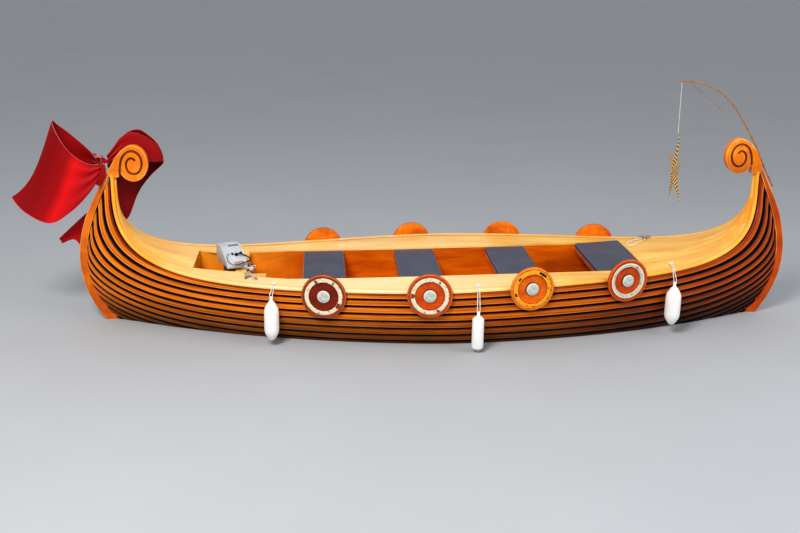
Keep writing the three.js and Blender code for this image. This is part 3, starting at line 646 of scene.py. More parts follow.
SHEER_LENGTH = HULL_LINES[0]["length"]
ROPE_RADIUS = 0.005
rope_plan = [
    (1.768, 0.384), (1.745, 0.392), (1.710, 0.386), (1.672, 0.355), (1.634, 0.316), (1.604, 0.275),
    (1.593, 0.243), (1.604, 0.221), (1.629, 0.217), (1.659, 0.236), (1.694, 0.270), (1.731, 0.309),
    (1.765, 0.346), (1.782, 0.366), (1.786, 0.383),
]
rope_points = [
    Vector((x, y, deck_point(x / SHEER_LENGTH, y).z + ROPE_RADIUS + 0.0025)) for x, y in rope_plan
]
rope_route = smooth_route(rope_points, 12)
rope = launch(
    "loop_of_line", skin(rings_round(rope_route, ROPE_RADIUS, 12, strands=3, lay=0.035)), rope_fibre,
    ["deck_rope"],
)

# %% [markdown]
# ## Planking
# A clinker hull is built of lapped strakes, and here each one is a rounded moulding with a dark channel
# above it. One shell with painted lines would look flat near the water, where the laps catch the light, so
# every strake is a closed length of its own: a section of thirteen points carried from stem to stem.

# %% Build the strakes
SIDES = (("port", 1), ("starboard", -1))
# Share of the strake's width down from its top edge, and reach out from the hull's surface
STRAKE_SECTION = [
    (-0.08, -0.004), (0.05, -0.003), (0.2, -0.002), (0.27, 0.004), (0.33, 0.0085), (0.48, 0.0112),
    (0.70, 0.0125), (0.87, 0.0122), (0.95, 0.0108), (1.0, 0.006), (1.0, 0.0), (0.97, -0.009), (-0.08, -0.009),
]
side_stations = even_stations(-1, 1, 241)


def off_hull(along, down, reach, side):
    """A point off the hull's surface, on the side asked for."""
    point = hull_point(along, down) + hull_normal(along, down) * reach
    return Vector((point.x, point.y * side, point.z))


def neck_room(breadth, least):
    """Sections shrink toward least where the hull narrows to nothing."""
    return max(least, min(1, least + (breadth - PLANK_END) / 0.03))


def strake_rings(k, side):
    rings = []
    for along in side_stations:
        top, foot = hull_point(along, k / STRAKES), hull_point(along, (k + 1) / STRAKES)
        relief = min(1, (foot - top).length / 0.045) * neck_room(top.y, 0.45)
        downs = [min(1, max(0, (k + share) / STRAKES)) for share, reach in STRAKE_SECTION]
        rings.append([
            off_hull(along, down, reach * relief, side) for down, (share, reach) in zip(downs, STRAKE_SECTION)
        ])
    return rings


for side_name, side in SIDES:
    planking = bmesh.new()
    for k in range(STRAKES):
        shares = [k + 0.1 + 0.8 * share for share, reach in STRAKE_SECTION]
        added(planking, skin(strake_rings(k, side), shares))
    launch(f"strakes_{side_name}", planking, plank_wood, [f"planking_{side_name}"])

# %% [markdown]
# ## Rim, rub strip and seam
# A rounded yellow rim runs along the top of each side, a thin red-brown strip guards the planks under it,
# and a bead of pale caulk fills the joint between rim and deck. All three are sections carried along the
# sheer, so they share the planks' stations and meet them everywhere.

# %% Build the rims, strips and seams
RIM_SECTION = [
    (0.011, -0.008), (0.013, -0.003), (0.0135, 0.004), (0.0115, 0.010), (0.007, 0.0145), (-0.002, 0.0165),
    (-0.012, 0.0166), (-0.023, 0.0152), (-0.0285, 0.0125), (-0.030, 0.009), (-0.030, -0.008),
]
# Share of the way down the hull, and reach out from it
STRIP_SECTION = [
    (0.019, 0.002), (0.0205, 0.012), (0.023, 0.0155), (0.028, 0.016), (0.032, 0.0148), (0.0345, 0.011),
    (0.035, 0.002), (0.034, -0.003), (0.021, -0.003),
]


def angles(count, drawn=None):
    """Angles once round, evenly spaced. drawn: how many to give, one past the count closes the round."""
    return [math.tau * k / count for k in range(drawn or count)]


def along_the_sheer(section, side, centre=0.0):
    """Rings of (reach outboard, height) pairs set on the sheer."""
    rings = []
    for along in side_stations:
        edge, up = sheer(along), deck_up(along)
        inward = rim_inside(along) / 0.030
        ring = []
        for reach, height in section:
            reach += centre
            wide = reach * spread(along) if reach > 0 else reach * inward
            point = Vector((edge.x, edge.y + wide, edge.z)) + up * height
            ring.append(Vector((point.x, point.y * side, point.z)))
        rings.append(ring)
    return rings


def strip_rings(side):
    rings = []
    for along in side_stations:
        narrow = min(1, (hull_point(along, 1 / STRAKES) - sheer(along)).length / 0.05)
        room = neck_room(sheer(along).y, 0.5) * max(0.6, narrow)
        rings.append([off_hull(along, down, reach * room, side) for down, reach in STRIP_SECTION])
    return rings


seam_section = [(0.004 * math.cos(a), 0.0105 + 0.0035 * math.sin(a)) for a in angles(8)]
SEAM_CENTRE = -0.031
for side_name, side in SIDES:
    rim = skin(along_the_sheer(RIM_SECTION, side))
    launch(f"sheer_rim_{side_name}", rim, rim_wood, [f"rim_{side_name}"])
    launch(f"rub_strip_{side_name}", skin(strip_rings(side)), rub_wood)
    seam = skin(along_the_sheer(seam_section, side, SEAM_CENTRE))
    launch(f"seam_bead_{side_name}", seam, pale_caulk)

# %% [markdown]
# ## Decks
# Both end decks are one sheet that climbs the stem's neck, and a side deck joins them along each side of
# the cockpit. They could be cut from the hull's top with a knife, but laying them as closed sections keeps
# the crown and gives grain that follows the sweep.

# %% Build the decks
COCKPIT_FORE = 1.567
WELL_AFT = -1.920
WELL_FORE = -1.530
STEP = 0.0005
DECK_THICKNESS = 0.014
DECK_SEAM = 0.0012
# Where the opening between the side decks is how wide: place along the boat and half the width
OPENING_PLACES = (WELL_AFT, WELL_FORE - STEP, WELL_FORE, -1.200, COCKPIT_FORE)
OPENING_HALVES = (0.247, 0.247, 0.331, 0.400, 0.400)


def deck_edge(along):
    return sheer(along).y - rim_inside(along) - DECK_SEAM


def end_deck_ring(along, start=None):
    half = deck_edge(along)
    ring = [deck_point(along, half * (k / 7 - 1)) for k in range(15)]
    ring += [deck_point(along, half * w, DECK_THICKNESS) for w in (1, 0.5, 0, -0.5, -1)]
    return ring if start is None else [Vector((start, p.y, p.z)) for p in ring]


def side_deck_ring(along, side):
    inner = float(np.interp(sheer(along).x, OPENING_PLACES, OPENING_HALVES))
    outer = deck_edge(along)
    ring = [deck_point(along, inner + (outer - inner) * k / 6) for k in range(7)]
    ring += [deck_point(along, outer, DECK_THICKNESS), deck_point(along, inner, DECK_THICKNESS)]
    return [Vector((sheer(along).x, p.y * side, p.z)) for p in ring]


for name, node, edge, end in (
    ("fore_deck", "foredeck", COCKPIT_FORE, 1),
    ("stern_deck", "aft_deck", WELL_AFT, -1),
):
    stations = even_stations(edge / SHEER_LENGTH, end, 90)
    rings = [end_deck_ring(stations[0], edge + 0.0003 * end)] + [end_deck_ring(t) for t in stations[1:]]
    widths = [p.y for p in end_deck_ring(stations[0])]
    launch(name, skin(rings, widths), deck_wood, [node])
for side_name, side in SIDES:
    stations = even_stations(WELL_AFT / SHEER_LENGTH, COCKPIT_FORE / SHEER_LENGTH, 70)
    stations = sorted(stations + [(WELL_FORE - STEP) / SHEER_LENGTH, WELL_FORE / SHEER_LENGTH])
    rings = [side_deck_ring(t, side) for t in stations]
    widths = [p.y for p in rings[35]]
    launch(f"cockpit_deck_{side_name}", skin(rings, widths), deck_wood, [f"side_deck_{side_name}"])

# %% [markdown]
# ## Stems and scroll heads
# Each stem is a flat timber from the keel up to the neck, and on it stands a thicker board cut to an oval
# scroll. Both are outlines, filled, extruded and given an eased edge. The spiral groove is cut with a
# Boolean, because a bevelled cut catches light and shadow as the carved one does.

# %% Draw the stems
STEM_HALF = 0.030
HEAD_HALF = 0.035
NECK_INSIDE = 2.476
scroll = dict(x=2.366, z=1.275, half_width=0.112, half_height=0.139, tilt=0.029)

# Low down the timber has cheeks that cover the planks' ends: share of the way down, and how far they reach in
CHEEK_DOWN = (0.3, 0.55, 0.68, 0.78, 0.87, 1.0)
CHEEK_WIDTH = (0.0, 0.006, 0.012, 0.024, 0.046, 0.056)


def stem_lines(end, count=56):
    """The rabbet where the planks end and the timber's outer edge, sheer to keel, as (x, z)."""
    rabbet, outer = [], []
    for k in range(count + 1):
        down = k / count
        here = hull_point(end, down).xz
        way = (hull_point(end, min(1, down + 0.01)) - hull_point(end, max(0, down - 0.01))).normalized()
        out = Vector((-way.z * end, way.x * end))
        band = 0.037 + (0.060 - 0.037) * min(1, down / 0.2)
        seam = 0.006 + 0.005 * max(0, 1 - down * STRAKES) - float(np.interp(down, CHEEK_DOWN, CHEEK_WIDTH))
        rabbet.append(here + out * seam)
        outer.append(here + out * band)
    return rabbet, outer


def board(outline, half, round_over):
    """A flat timber that stands fore and aft, from (x, z) pairs."""
    bm = prism([(x, -half, z) for x, z in outline], (0, 2 * half, 0))
    rims = {e for f in bm.faces if abs(f.normal.y) > 0.99 for e in f.edges}
    return ease(bm, round_over, 3, edges=list(rims))


def mark_wear_and_highlight(bm, index):
    """Gives the eased edges of a timber the finish with this number: a paler one, partly wear and partly
    painted highlight.
    """
    for face in bm.faces:
        if 0.15 < abs(face.normal.y) < 0.97:
            face.material_index = index
    return bm


def scroll_place(end, share, angle):
    """A point of the scroll's face: share of its radius, angle up from the outer side."""
    x = scroll["x"] + scroll["half_width"] * share * math.cos(angle)
    z = scroll["z"] + scroll["half_height"] * share * math.sin(angle) + scroll["tilt"] * end
    return Vector((x * end, z))


print("stem helpers ready")

# %% [markdown]
# The groove on the head is a spiral with a round floor. It could be a dark line in the finish, but only a
# real cut has an edge that catches the light. A tube laid along the spiral is the cutter, and the Boolean's
# exact solver takes it out of both faces of the board.

# %% Cut the scroll's groove and set the stems
# The carved spiral, from the throat beside the neck to the eye: turns made and share of the scroll's radius
SPIRAL = [
    (0.0, 1.02), (0.04, 0.9), (0.09, 0.81), (0.2, 0.73), (0.36, 0.68), (0.6, 0.61), (0.84, 0.58), (1.1, 0.42),
    (1.34, 0.28), (1.46, 0.21),
]


def groove_cutter(end):
    """A tube along the spiral on each face of the head."""
    route = [
        scroll_place(end, share, math.radians(-30) + math.tau * turns)
        for turns, share in smooth_route([Vector(pair) for pair in SPIRAL], 9)
    ]
    bm = bmesh.new()
    for y in (-HEAD_HALF, HEAD_HALF):
        added(bm, skin(rings_round([Vector((p.x, y, p.y)) for p in route], 0.0088, 8)))
    return linked("groove_cutter", mesh_of("groove_cutter", bm, groove_shade))


def carved(piece, cutter):
    """Cuts one piece with another and drops the cutter."""
    cut = piece.modifiers.new("groove", "BOOLEAN")
    cut.operation = "DIFFERENCE"
    cut.solver = "EXACT"
    cut.object = cutter
    result = evaluated(piece)
    piece.modifiers.clear()
    piece.data = result
    bpy.data.objects.remove(cutter)
    result.shade_smooth()
    result.set_sharp_from_angle(angle=math.radians(28))


for end_name, end in (("bow", 1), ("stern", -1)):
    rabbet, outer = stem_lines(end)
    keel = lifted(line_point(HULL_LINES[3], 1))
    timber = mark_wear_and_highlight(board([(keel.x * end, keel.z - 0.056)] + outer[::-1] + rabbet, STEM_HALF, 0.004), 1)
    for vert in timber.verts:
        vert.co.y *= 1 + 0.25 * min(1, max(0, (0.4 - vert.co.z) / 0.3))
    launch(f"stem_timber_{end_name}", timber, [stem_wood, edge_wear_and_highlight], [f"stem_{end_name}"])
    joint = rabbet[0].y + 0.006
    crest = [(2.529, 1.264), (2.495, 1.324), (2.453, 1.373)]
    shoulder = [Vector((x * end, z + scroll["tilt"] * end)) for x, z in crest]
    turn = [scroll_place(end, 1, math.radians(65 + 267 * k / 52)) for k in range(53)]
    step = outer[0] + (outer[0] - outer[2]) * 0.1
    head = [step] + shoulder + turn + [
        Vector((NECK_INSIDE * end, joint)), Vector((NECK_INSIDE * end, joint - 0.03)),
        rabbet[0] - Vector((0, 0.03)),
    ]
    head = mark_wear_and_highlight(board(head, HEAD_HALF, 0.005), 2)
    scroll_head = launch(f"scroll_head_{end_name}", head, [head_wood, groove_shade, edge_wear_and_highlight])
    carved(scroll_head, groove_cutter(end))
    print("scroll head", end_name, "now", len(scroll_head.data.polygons), "faces")

# %% [markdown]
# ## Cockpit
# The linings, sole, bulkheads and benches are flat boards whose shape is already right in the frame, so
# they keep their own meshes and only get a finish. Panels run fore and aft and have a redder varnish than
# the decks; the cap board behind the motor is pale.

# %% Dress the boards of the frame
def dress(finish, *names):
    for name in names:
        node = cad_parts[name]
        node.data.materials.clear()
        node.data.materials.append(finish)


dress(panel_wood, "lining_port", "lining_starboard", "sole", "bulkhead_fore", "bulkhead_aft", "motor_well")
dress(panel_wood, "thwart_1", "thwart_2", "thwart_3", "thwart_4")
dress(cap_wood, "cap_board", "quarter_pad")
dress(keel_wood, "keel_main", "keel_aft")
print("boards dressed")

# %% [markdown]
# ## Cushions
# Each bench has a flat vinyl pad, piped along its edges. Foam presses the cover outward everywhere but at
# the seams, and cloth simulation with a little pressure gives exactly that: the seams are pinned, gravity
# is off, and how far the cover may move is capped.

# %% Shape the cushions
benches = [
    dict(aft=-1.088, fore=-0.754, top_aft=0.427, top_fore=0.433),
    dict(aft=-0.345, fore=-0.011, top_aft=0.436, top_fore=0.442),
    dict(aft=0.420, fore=0.754, top_aft=0.454, top_fore=0.462),
    dict(aft=1.185, fore=1.560, top_aft=0.484, top_fore=0.510),
]
CUSHION_DEPTH = 0.045
CUSHION_HALF = 0.393
PIPING_RADIUS = 0.0035


def pad_top(bench, x):
    """Height of the pad's top, which slopes with the sheer."""
    slope = (bench["top_fore"] - bench["top_aft"]) / (bench["fore"] - bench["aft"])
    return bench["top_aft"] + slope * (x - bench["aft"])


def pad_shape(bench):
    """The cover before it is filled, a little smaller than the finished pad."""
    inset = 0.006
    bm = bmesh.new()
    bmesh.ops.create_cube(bm, size=1)
    for vert in bm.verts:
        x = bench["fore"] - inset if vert.co.x > 0 else bench["aft"] + inset
        top = bench["top_fore"] if vert.co.x > 0 else bench["top_aft"]
        z = top - 0.007 if vert.co.z > 0 else bench["top_aft"] - CUSHION_DEPTH + 0.001
        vert.co = (x, math.copysign(CUSHION_HALF - inset, vert.co.y), z)
    return ease(bm, 0.005)


def filled(bm, voxel, pressure, cap, pinned):
    """Swells a cover by cloth simulation. pinned(point) says where it is sewn or rests."""
    body = linked("cover", mesh_of("cover", bm))
    remesh = body.modifiers.new("remesh", "REMESH")
    remesh.mode = "VOXEL"
    remesh.voxel_size = voxel
    even = evaluated(body)
    body.modifiers.clear()
    body.data = even
    start = [v.co.copy() for v in even.vertices]
    held = body.vertex_groups.new(name="held")
    held.add([v.index for v in even.vertices if pinned(v.co)], 1.0, "REPLACE")
    cloth = body.modifiers.new("cloth", "CLOTH")
    cloth.settings.use_pressure = True
    cloth.settings.uniform_pressure_force = pressure
    cloth.settings.vertex_group_mass = "held"
    cloth.settings.effector_weights.gravity = 0
    cloth.settings.quality = 4
    for step in range(1, 21):
        bpy.context.scene.frame_set(step)
    puffed = body.evaluated_get(bpy.context.evaluated_depsgraph_get()).to_mesh()
    for vert, rest, now in zip(even.vertices, start, puffed.vertices):
        move = now.co - rest
        vert.co = rest + move * min(1, cap / max(move.length, 1e-9))
    body.modifiers.clear()
    bpy.context.scene.frame_set(1)
    result = bmesh.new()
    result.from_mesh(even)
    bpy.data.objects.remove(body)
    bmesh.ops.smooth_vert(
        result, verts=result.verts[:], factor=0.4, use_axis_x=True, use_axis_y=True, use_axis_z=True,
    )
    return result


print("cushion helpers ready")

# %% [markdown]
# Piping is a thin cord sewn into the seam. It could be a bevelled curve, but the same rings round a route
# that make the ropes follow the pad's rounded corners as well.

# %% Fill and pipe the cushions
def piping_route(bench, up):
    """Round the pad's edge, at its top or its foot."""
    inset, corner = 0.008, 0.018
    route = []
    for cx, cy, turn_start in ((1, 1, 0), (-1, 1, 90), (-1, -1, 180), (1, -1, 270)):
        x0 = (bench["fore"] - inset if cx > 0 else bench["aft"] + inset) - cx * corner
        y0 = (CUSHION_HALF - inset - corner) * cy
        for k in range(5):
            a = math.radians(turn_start + 22.5 * k)
            x, y = x0 + corner * math.cos(a), y0 + corner * math.sin(a)
            z = pad_top(bench, x) - 0.009 if up else bench["top_aft"] - CUSHION_DEPTH + 0.004
            route.append(Vector((x, y, z)))
    return route


for number, bench in enumerate(benches, 1):

    def sewn(point):
        edge = min(bench["fore"] - point.x, point.x - bench["aft"], CUSHION_HALF - abs(point.y))
        low = point.z < bench["top_aft"] - CUSHION_DEPTH + 0.008
        return low or (edge < 0.017 and point.z > pad_top(bench, point.x) - 0.018)

    pad = filled(pad_shape(bench), voxel=0.008, pressure=4.0, cap=0.009, pinned=sewn)
    cushion = launch(f"seat_pad_{number}", pad, cockpit_vinyl, [f"cushion_{number}"], sharp=60)
    smooth = cushion.modifiers.new("smooth", "SUBSURF")
    smooth.levels = smooth.render_levels = 1
    piping = bmesh.new()
    for up in (True, False):
        loop = piping_route(bench, up)
        added(piping, skin(rings_round(loop + loop[:2], PIPING_RADIUS, 8)))
    launch(f"seat_piping_{number}", piping, piping_vinyl_highlit)

# %% [markdown]
# ## Shields
# Four round shields hang on each side, with painted rings that have worn and chipped. The paint could be an
# image, but rings are only distances from the boss: the UV map holds the place on the disc in metres, and
# comparisons draw each band, line and worn patch.

# %% Finishes of the shields
def shield_finish(name, field, ring, edge, ring_band, patches, whole=0.56):
    """patches: (middle angle, half its width, inner radius, outer radius, colour) in degrees and metres."""
    f = Finish(name, 0.45, Coat_Weight=0.08, Coat_Roughness=0.3, Specular_IOR_Level=0.15)
    vector = f.coordinates("UV")
    radius = f.node("VectorMath", {0: vector}, operation="LENGTH").outputs["Value"]
    unit = f.node("VectorMath", {0: vector}, operation="NORMALIZE").outputs[0]
    flecks = f.noise(vector, 34.0, 6.0, 0.65)
    wobbly = f.maths("MULTIPLY_ADD", flecks, 0.002, radius)

    def between(low, high):
        above = f.maths("GREATER_THAN", wobbly, low + 0.001)
        return f.product(above, f.maths("LESS_THAN", wobbly, high + 0.001))

    drift = f.ramp(f.noise(vector, 9.0, 3.0), (0.3, (0.7, 0.62, 0.56)), (0.65, (1.1, 1.1, 1.1)))
    grain = f.noise(vector, 1.0, 6.0, 0.6, 0.4, (8, 60, 1))
    wood = f.tinted(drift, f.ramp(grain, (0.3, (0.8, 0.72, 0.66)), (0.7, (1.15, 1.15, 1.1))))
    outside = f.maths("GREATER_THAN", radius, ring_band[1])
    colour = f.mixed(outside, f.tinted(wood, field), f.tinted(wood, edge))
    bare, thin = tuple(c * 0.5 for c in field), tuple(c * 0.8 for c in ring)
    colour = f.mixed(between(*ring_band), colour, f.ramp(flecks, (0.36, bare), (0.42, thin), (whole, ring)))
    for angle, half, inner, outer, paint in patches:
        middle = (math.cos(math.radians(angle)), math.sin(math.radians(angle)), 0)
        ragged = f.maths("MULTIPLY_ADD", flecks, 0.06, f.along(unit, middle))
        sector = f.maths("GREATER_THAN", ragged, math.cos(math.radians(half)) + 0.03)
        colour = f.mixed(f.product(sector, between(inner, outer)), colour, paint)
    for line, width, paint in (
        (ring_band[0], 0.0016, (0.08, 0.02, 0.006)), (ring_band[1], 0.0012, (0.1, 0.03, 0.01)),
        (0.0497, 0.0022, (0.06, 0.02, 0.01)), (0.1615, 0.0014, (0.6, 0.24, 0.08)),
    ):
        off = f.maths("ABSOLUTE", f.maths("SUBTRACT", radius, line))
        colour = f.mixed(f.maths("LESS_THAN", off, width), colour, paint)
    boss = f.ramp(flecks, (0.38, (0.36, 0.37, 0.32)), (0.55, (0.55, 0.56, 0.5)))
    boss = f.mixed(f.maths("GREATER_THAN", radius, 0.0395), boss, (0.64, 0.63, 0.55))
    colour = f.mixed(f.maths("LESS_THAN", radius, 0.0475), colour, boss)
    return f.done(colour, flecks, 0.2, 0.002)


cream, grey_cream, yellow = (0.8, 0.7, 0.5), (0.56, 0.55, 0.43), (0.86, 0.34, 0.02)
black, brown = (0.012, 0.006, 0.005), (0.2, 0.05, 0.015)
shield_looks = [
    shield_finish("shield_dark", (0.2, 0.022, 0.004), cream, (0.32, 0.045, 0.008), (0.109, 0.142), [
        (-32, 9, 0.112, 0.139, brown), (118, 4, 0.112, 0.139, brown),
    ]),
    shield_finish("shield_flame", (0.62, 0.085, 0.004), cream, (0.5, 0.07, 0.006), (0.108, 0.141), [
        (180, 7, 0.111, 0.138, brown), (-62, 4, 0.111, 0.138, brown),
    ]),
    shield_finish("shield_amber", (0.74, 0.15, 0.003), yellow, (0.8, 0.23, 0.006), (0.112, 0.148), [
        (142, 7, 0.121, 0.137, black), (55, 14, 0.124, 0.141, black), (198, 6, 0.124, 0.14, black),
        (2, 2.5, 0.118, 0.133, black), (275, 8, 0.131, 0.136, (0.3, 0.07, 0.01)),
    ], 0.44),
    shield_finish("shield_rust", (0.54, 0.07, 0.004), grey_cream, (0.5, 0.07, 0.006), (0.104, 0.138), [
        (90, 180, 0.13, 0.138, (0.88, 0.78, 0.6)),
    ]),
]
shield_back = varnished(
    "shield_back", (0.56, 0.09, 0.003), (0.76, 0.175, 0.004), (0.88, 0.27, 0.01), grain_scale=(9, 9, 2),
    blotch=5, blotch_strength=0.3,
)
print("shield finishes:", len(shield_looks))

# %% [markdown]
# Each shield is a turned dish: a rounded rim, a raised ring, a dished field and a domed boss. A disc could be
# sculpted, but spinning one profile gives the whole form, and one matrix then hangs it on the side.

# %% Turn the shields and hang them
SHIELD_PROFILE = [
    (0, 0), (0.160, 0), (0.165, 0.002), (0.167, 0.006), (0.167, 0.013), (0.164, 0.018), (0.158, 0.0205),
    (0.151, 0.021), (0.1475, 0.0185), (0.146, 0.0175), (0.1435, 0.0195), (0.126, 0.0205), (0.111, 0.0195),
    (0.1085, 0.016), (0.107, 0.011), (0.101, 0.0095), (0.085, 0.0085), (0.056, 0.0085), (0.0505, 0.0095),
    (0.0485, 0.014), (0.0475, 0.021), (0.044, 0.0245), (0.030, 0.0268), (0.014, 0.0278), (0, 0.028),
]
# Place along the boat, and how far the middle hangs below the sheer
shield_places = {
    "port": [(-0.926, 0.057), (-0.158, 0.056), (0.630, 0.050), (1.406, 0.054)],
    "starboard": [(-0.926, 0.031), (-0.158, 0.013), (0.600, -0.001), (1.355, 0.005)],
}
for side_name, side in SIDES:
    for number, (x, drop) in enumerate(shield_places[side_name], 1):
        along = x / SHEER_LENGTH
        edge = sheer(along)
        chord = sheer(along + 0.03) - sheer(along - 0.03)
        dish = turned(SHIELD_PROFILE, 72)
        disc = dish.loops.layers.uv.new("disc")
        for face in dish.faces:
            face.material_index = int(face.normal.z < -0.9)
            for loop in face.loops:
                loop[disc].uv = loop.vert.co.xy
        yaw = Matrix.Rotation(math.atan2(chord.y, chord.x) * side, 4, "Z")
        facing = yaw @ Matrix.Rotation(-math.pi / 2 * side, 4, "X")
        centre = Vector((x, (edge.y + 0.030) * side, edge.z - drop))
        placed(dish, Matrix.Translation(centre) @ facing)
        launch(f"round_shield_{side_name}_{number}", dish, [shield_looks[number - 1], shield_back],
               [f"shield_{side_name}_{number}"], sharp=50)

# %% [markdown]
# ## Fenders
# Three blown vinyl fenders hang to starboard on thin white line. They are turned shapes: the outer two are
# spindles with long conical ends and the middle one is a straight cylinder. Each line is doubled through
# the eye, goes over the rim and ends in a knot on the deck.

# %% Hang the fenders
FENDER_KEYS = ("x", "radius", "foot", "shoulder", "head", "taper", "tie_x", "inboard")
fenders = [
    dict(zip(FENDER_KEYS, (-1.312, 0.055, 0.050, 0.355, 0.389, 0.070, -1.294, 0.050))),
    dict(zip(FENDER_KEYS, (0.197, 0.044, 0.016, 0.284, 0.318, 0.024, 0.209, 0.083))),
    dict(zip(FENDER_KEYS, (1.746, 0.059, 0.092, 0.398, 0.436, 0.070, 1.780, 0.118))),
]
# A conical end: share of the radius, and how far in from the tip in lengths of the taper
CONE = [
    (0.12, 0.0), (0.24, 0.01), (0.33, 0.06), (0.48, 0.2), (0.66, 0.42), (0.8, 0.62), (0.9, 0.8), (0.97, 1.02),
    (1, 1.3),
]


def fender_shape(fender):
    radius, foot, shoulder, head, taper = (fender[key] for key in FENDER_KEYS[1:6])
    profile = [(0, foot)] + [(radius * share, foot + taper * way) for share, way in CONE]
    profile += [(radius * share, shoulder - taper * way) for share, way in CONE[:0:-1]]
    eye = [(0.0125, shoulder + 0.006), (0.0115, shoulder + 0.012), (0.0115, head - 0.004), (0.008, head)]
    return profile + eye + [(0, head)]


def fender_strand(fender, tie, y, deck, apart):
    """One part of the doubled line, from its knot on the deck to the fender's eye."""
    inboard, over = fender["inboard"], tie.z + 0.023
    way = (fender["x"] - fender["tie_x"]) / (inboard - tie.y - y)
    points = []
    for out, height in (
        (-inboard, deck), (-0.046, deck + 0.003), (-0.020, over), (0.004, over), (0.022, tie.z + 0.006),
        (0.036, tie.z - 0.012),
    ):
        along = fender["tie_x"] + way * (out + inboard)
        points.append(Vector((along + apart * (1.3 + 10 * out), -tie.y - out, height)))
    points += [Vector((fender["x"] + apart * 2.2, y, fender["head"] + up)) for up in (0.016, -0.006)]
    return skin(rings_round(smooth_route(points, 8), 0.0034, 8, strands=2, lay=0.02))


for number, fender in enumerate(fenders, 1):
    edge, tie = sheer(fender["x"] / SHEER_LENGTH), sheer(fender["tie_x"] / SHEER_LENGTH)
    y = -(edge.y + 0.030 + fender["radius"])
    body = moved(turned(fender_shape(fender), 40), fender["x"], y, 0)
    launch(f"fender_body_{number}", body, fender_vinyl, [f"fender_{number}"], sharp=50)
    knot_y = fender["inboard"] - tie.y
    deck = deck_point(fender["tie_x"] / SHEER_LENGTH, -knot_y).z + 0.005
    lines = bmesh.new()
    for apart in (-0.0045, 0.0045):
        added(lines, fender_strand(fender, tie, y, deck, apart))
    for layer in range(3):
        centre = Vector((fender["tie_x"], knot_y, deck + 0.004 * layer))
        wrap = [centre + Vector((0.014 * math.cos(a), 0.010 * math.sin(a), 0)) for a in angles(16, 17)]
        added(lines, skin(rings_round(wrap, 0.0045, 8)))
    launch(f"fender_tie_{number}", lines, rope_fibre, [f"fender_line_{number}"])

# %% [markdown]
# ## Cleat
# The rope's cleat is a small casting with two horns. A board outline with eased edges gives the horns and
# the foot in one piece.

# %% Cast the cleat
cleat = dict(x=1.785, y=0.398)
cleat_foot = deck_point((cleat["x"] + 0.020) / SHEER_LENGTH, cleat["y"]).z + 0.001
cleat_outline = [
    (-0.018, 0), (0.018, 0), (0.014, 0.018), (0.040, 0.021), (0.055, 0.026), (0.054, 0.031), (0.030, 0.0315),
    (-0.030, 0.0315), (-0.054, 0.031), (-0.055, 0.026), (-0.040, 0.021), (-0.014, 0.018),
]
horns = board([(cleat["x"] + x, cleat_foot + z) for x, z in cleat_outline], 0.008, 0.0025)
launch("horn_cleat", moved(horns, 0, cleat["y"], 0), galvanised, ["deck_cleat"])

# %% [markdown]
# ## Ribbon bow
# A wide red ribbon is tied round the stern's scroll head: a big loop hangs aft, another stands behind the
# head, and a tail points down. Lamps alone don't give satin its bright band, so a painted highlight runs
# along a slant of the big loop's colour, and painted shade darkens the faces inside each loop.

# %% Finish of the ribbon
def ribbon_finish(name, *stops, drift_scale=2.0, piped=True, slant=None):
    """Red cloth. slant: a direction for a band of painted highlight, and the reach along it at which the
    colours begin and end.
    """
    f = Finish(name, 0.55, Specular_IOR_Level=0.15)
    vector, place = f.coordinates("UV"), f.coordinates()
    tone = f.noise(place, drift_scale, 1.0)
    if slant:
        way, begin, finish = slant
        reach = {"Value": f.along(place, way), "From Min": begin, "From Max": finish}
        tone = f.maths("MULTIPLY_ADD", tone, 0.14, f.node("MapRange", reach).outputs["Result"])
    colour = f.ramp(tone, *stops)
    if piped:
        off_middle = f.maths("ABSOLUTE", f.maths("SUBTRACT", f.parts(vector)["Y"], 0.5))
        colour = f.mixed(f.maths("GREATER_THAN", off_middle, 0.4945), colour, (0.5, 0.13, 0.16))
    weave = {"Scale": 160.0, "Distortion": 0.4, "Vector": vector}
    return f.done(colour, f.node("TexWave", weave, bands_direction="X").outputs["Fac"], 0.06, 0.001)


deep, full, bright = (0.22, 0.002, 0.004), (0.34, 0.003, 0.006), (0.66, 0.006, 0.008)
ribbon_cloth = ribbon_finish("ribbon_cloth", (0.3, deep), (0.7, full))
# The big loop's painted highlight: darkest at its upper left and brightest in a band that runs up to the
# knot.
ribbon_painted_highlight = ribbon_finish(
    "ribbon_painted_highlight", (0.1, (0.24, 0.002, 0.004)), (0.42, (0.32, 0.003, 0.005)), (0.6, bright),
    (0.9, (0.36, 0.003, 0.006)), slant=((0.906, 0, -0.423), -3.25, -2.85),
)
# Painted shade: the darker red of the faces inside the fore loop.
ribbon_inner_painted_shade = ribbon_finish("ribbon_inner_painted_shade", (0.3, (0.11, 0.0015, 0.002)), (0.7, (0.19, 0.002, 0.003)))
tail_cloth = ribbon_finish("tail_cloth", (0.3, full), (0.7, (0.55, 0.005, 0.008)))
# Painted shade: the darker red of the faces inside the big loop and of the gathers at the knot.
ribbon_painted_half_shade = ribbon_finish("ribbon_painted_half_shade", (0.3, (0.2, 0.002, 0.002)), (0.7, (0.3, 0.003, 0.003)))
# The knot's pale pink tone is a painted highlight on its strands.
knot_cloth = ribbon_finish(
    "knot_cloth", (0.3, (0.09, 0.002, 0.004)), (0.5, (0.22, 0.005, 0.01)), (0.66, (0.6, 0.16, 0.2)),
    drift_scale=30.0, piped=False,
)
print("ribbon finishes made")

# %% [markdown]
# The knot is a tight lump of cloth under a few straps. A sphere with creases pushed in by a sine wave is
# enough for the lump, and each strap is a flat oval section carried over it.

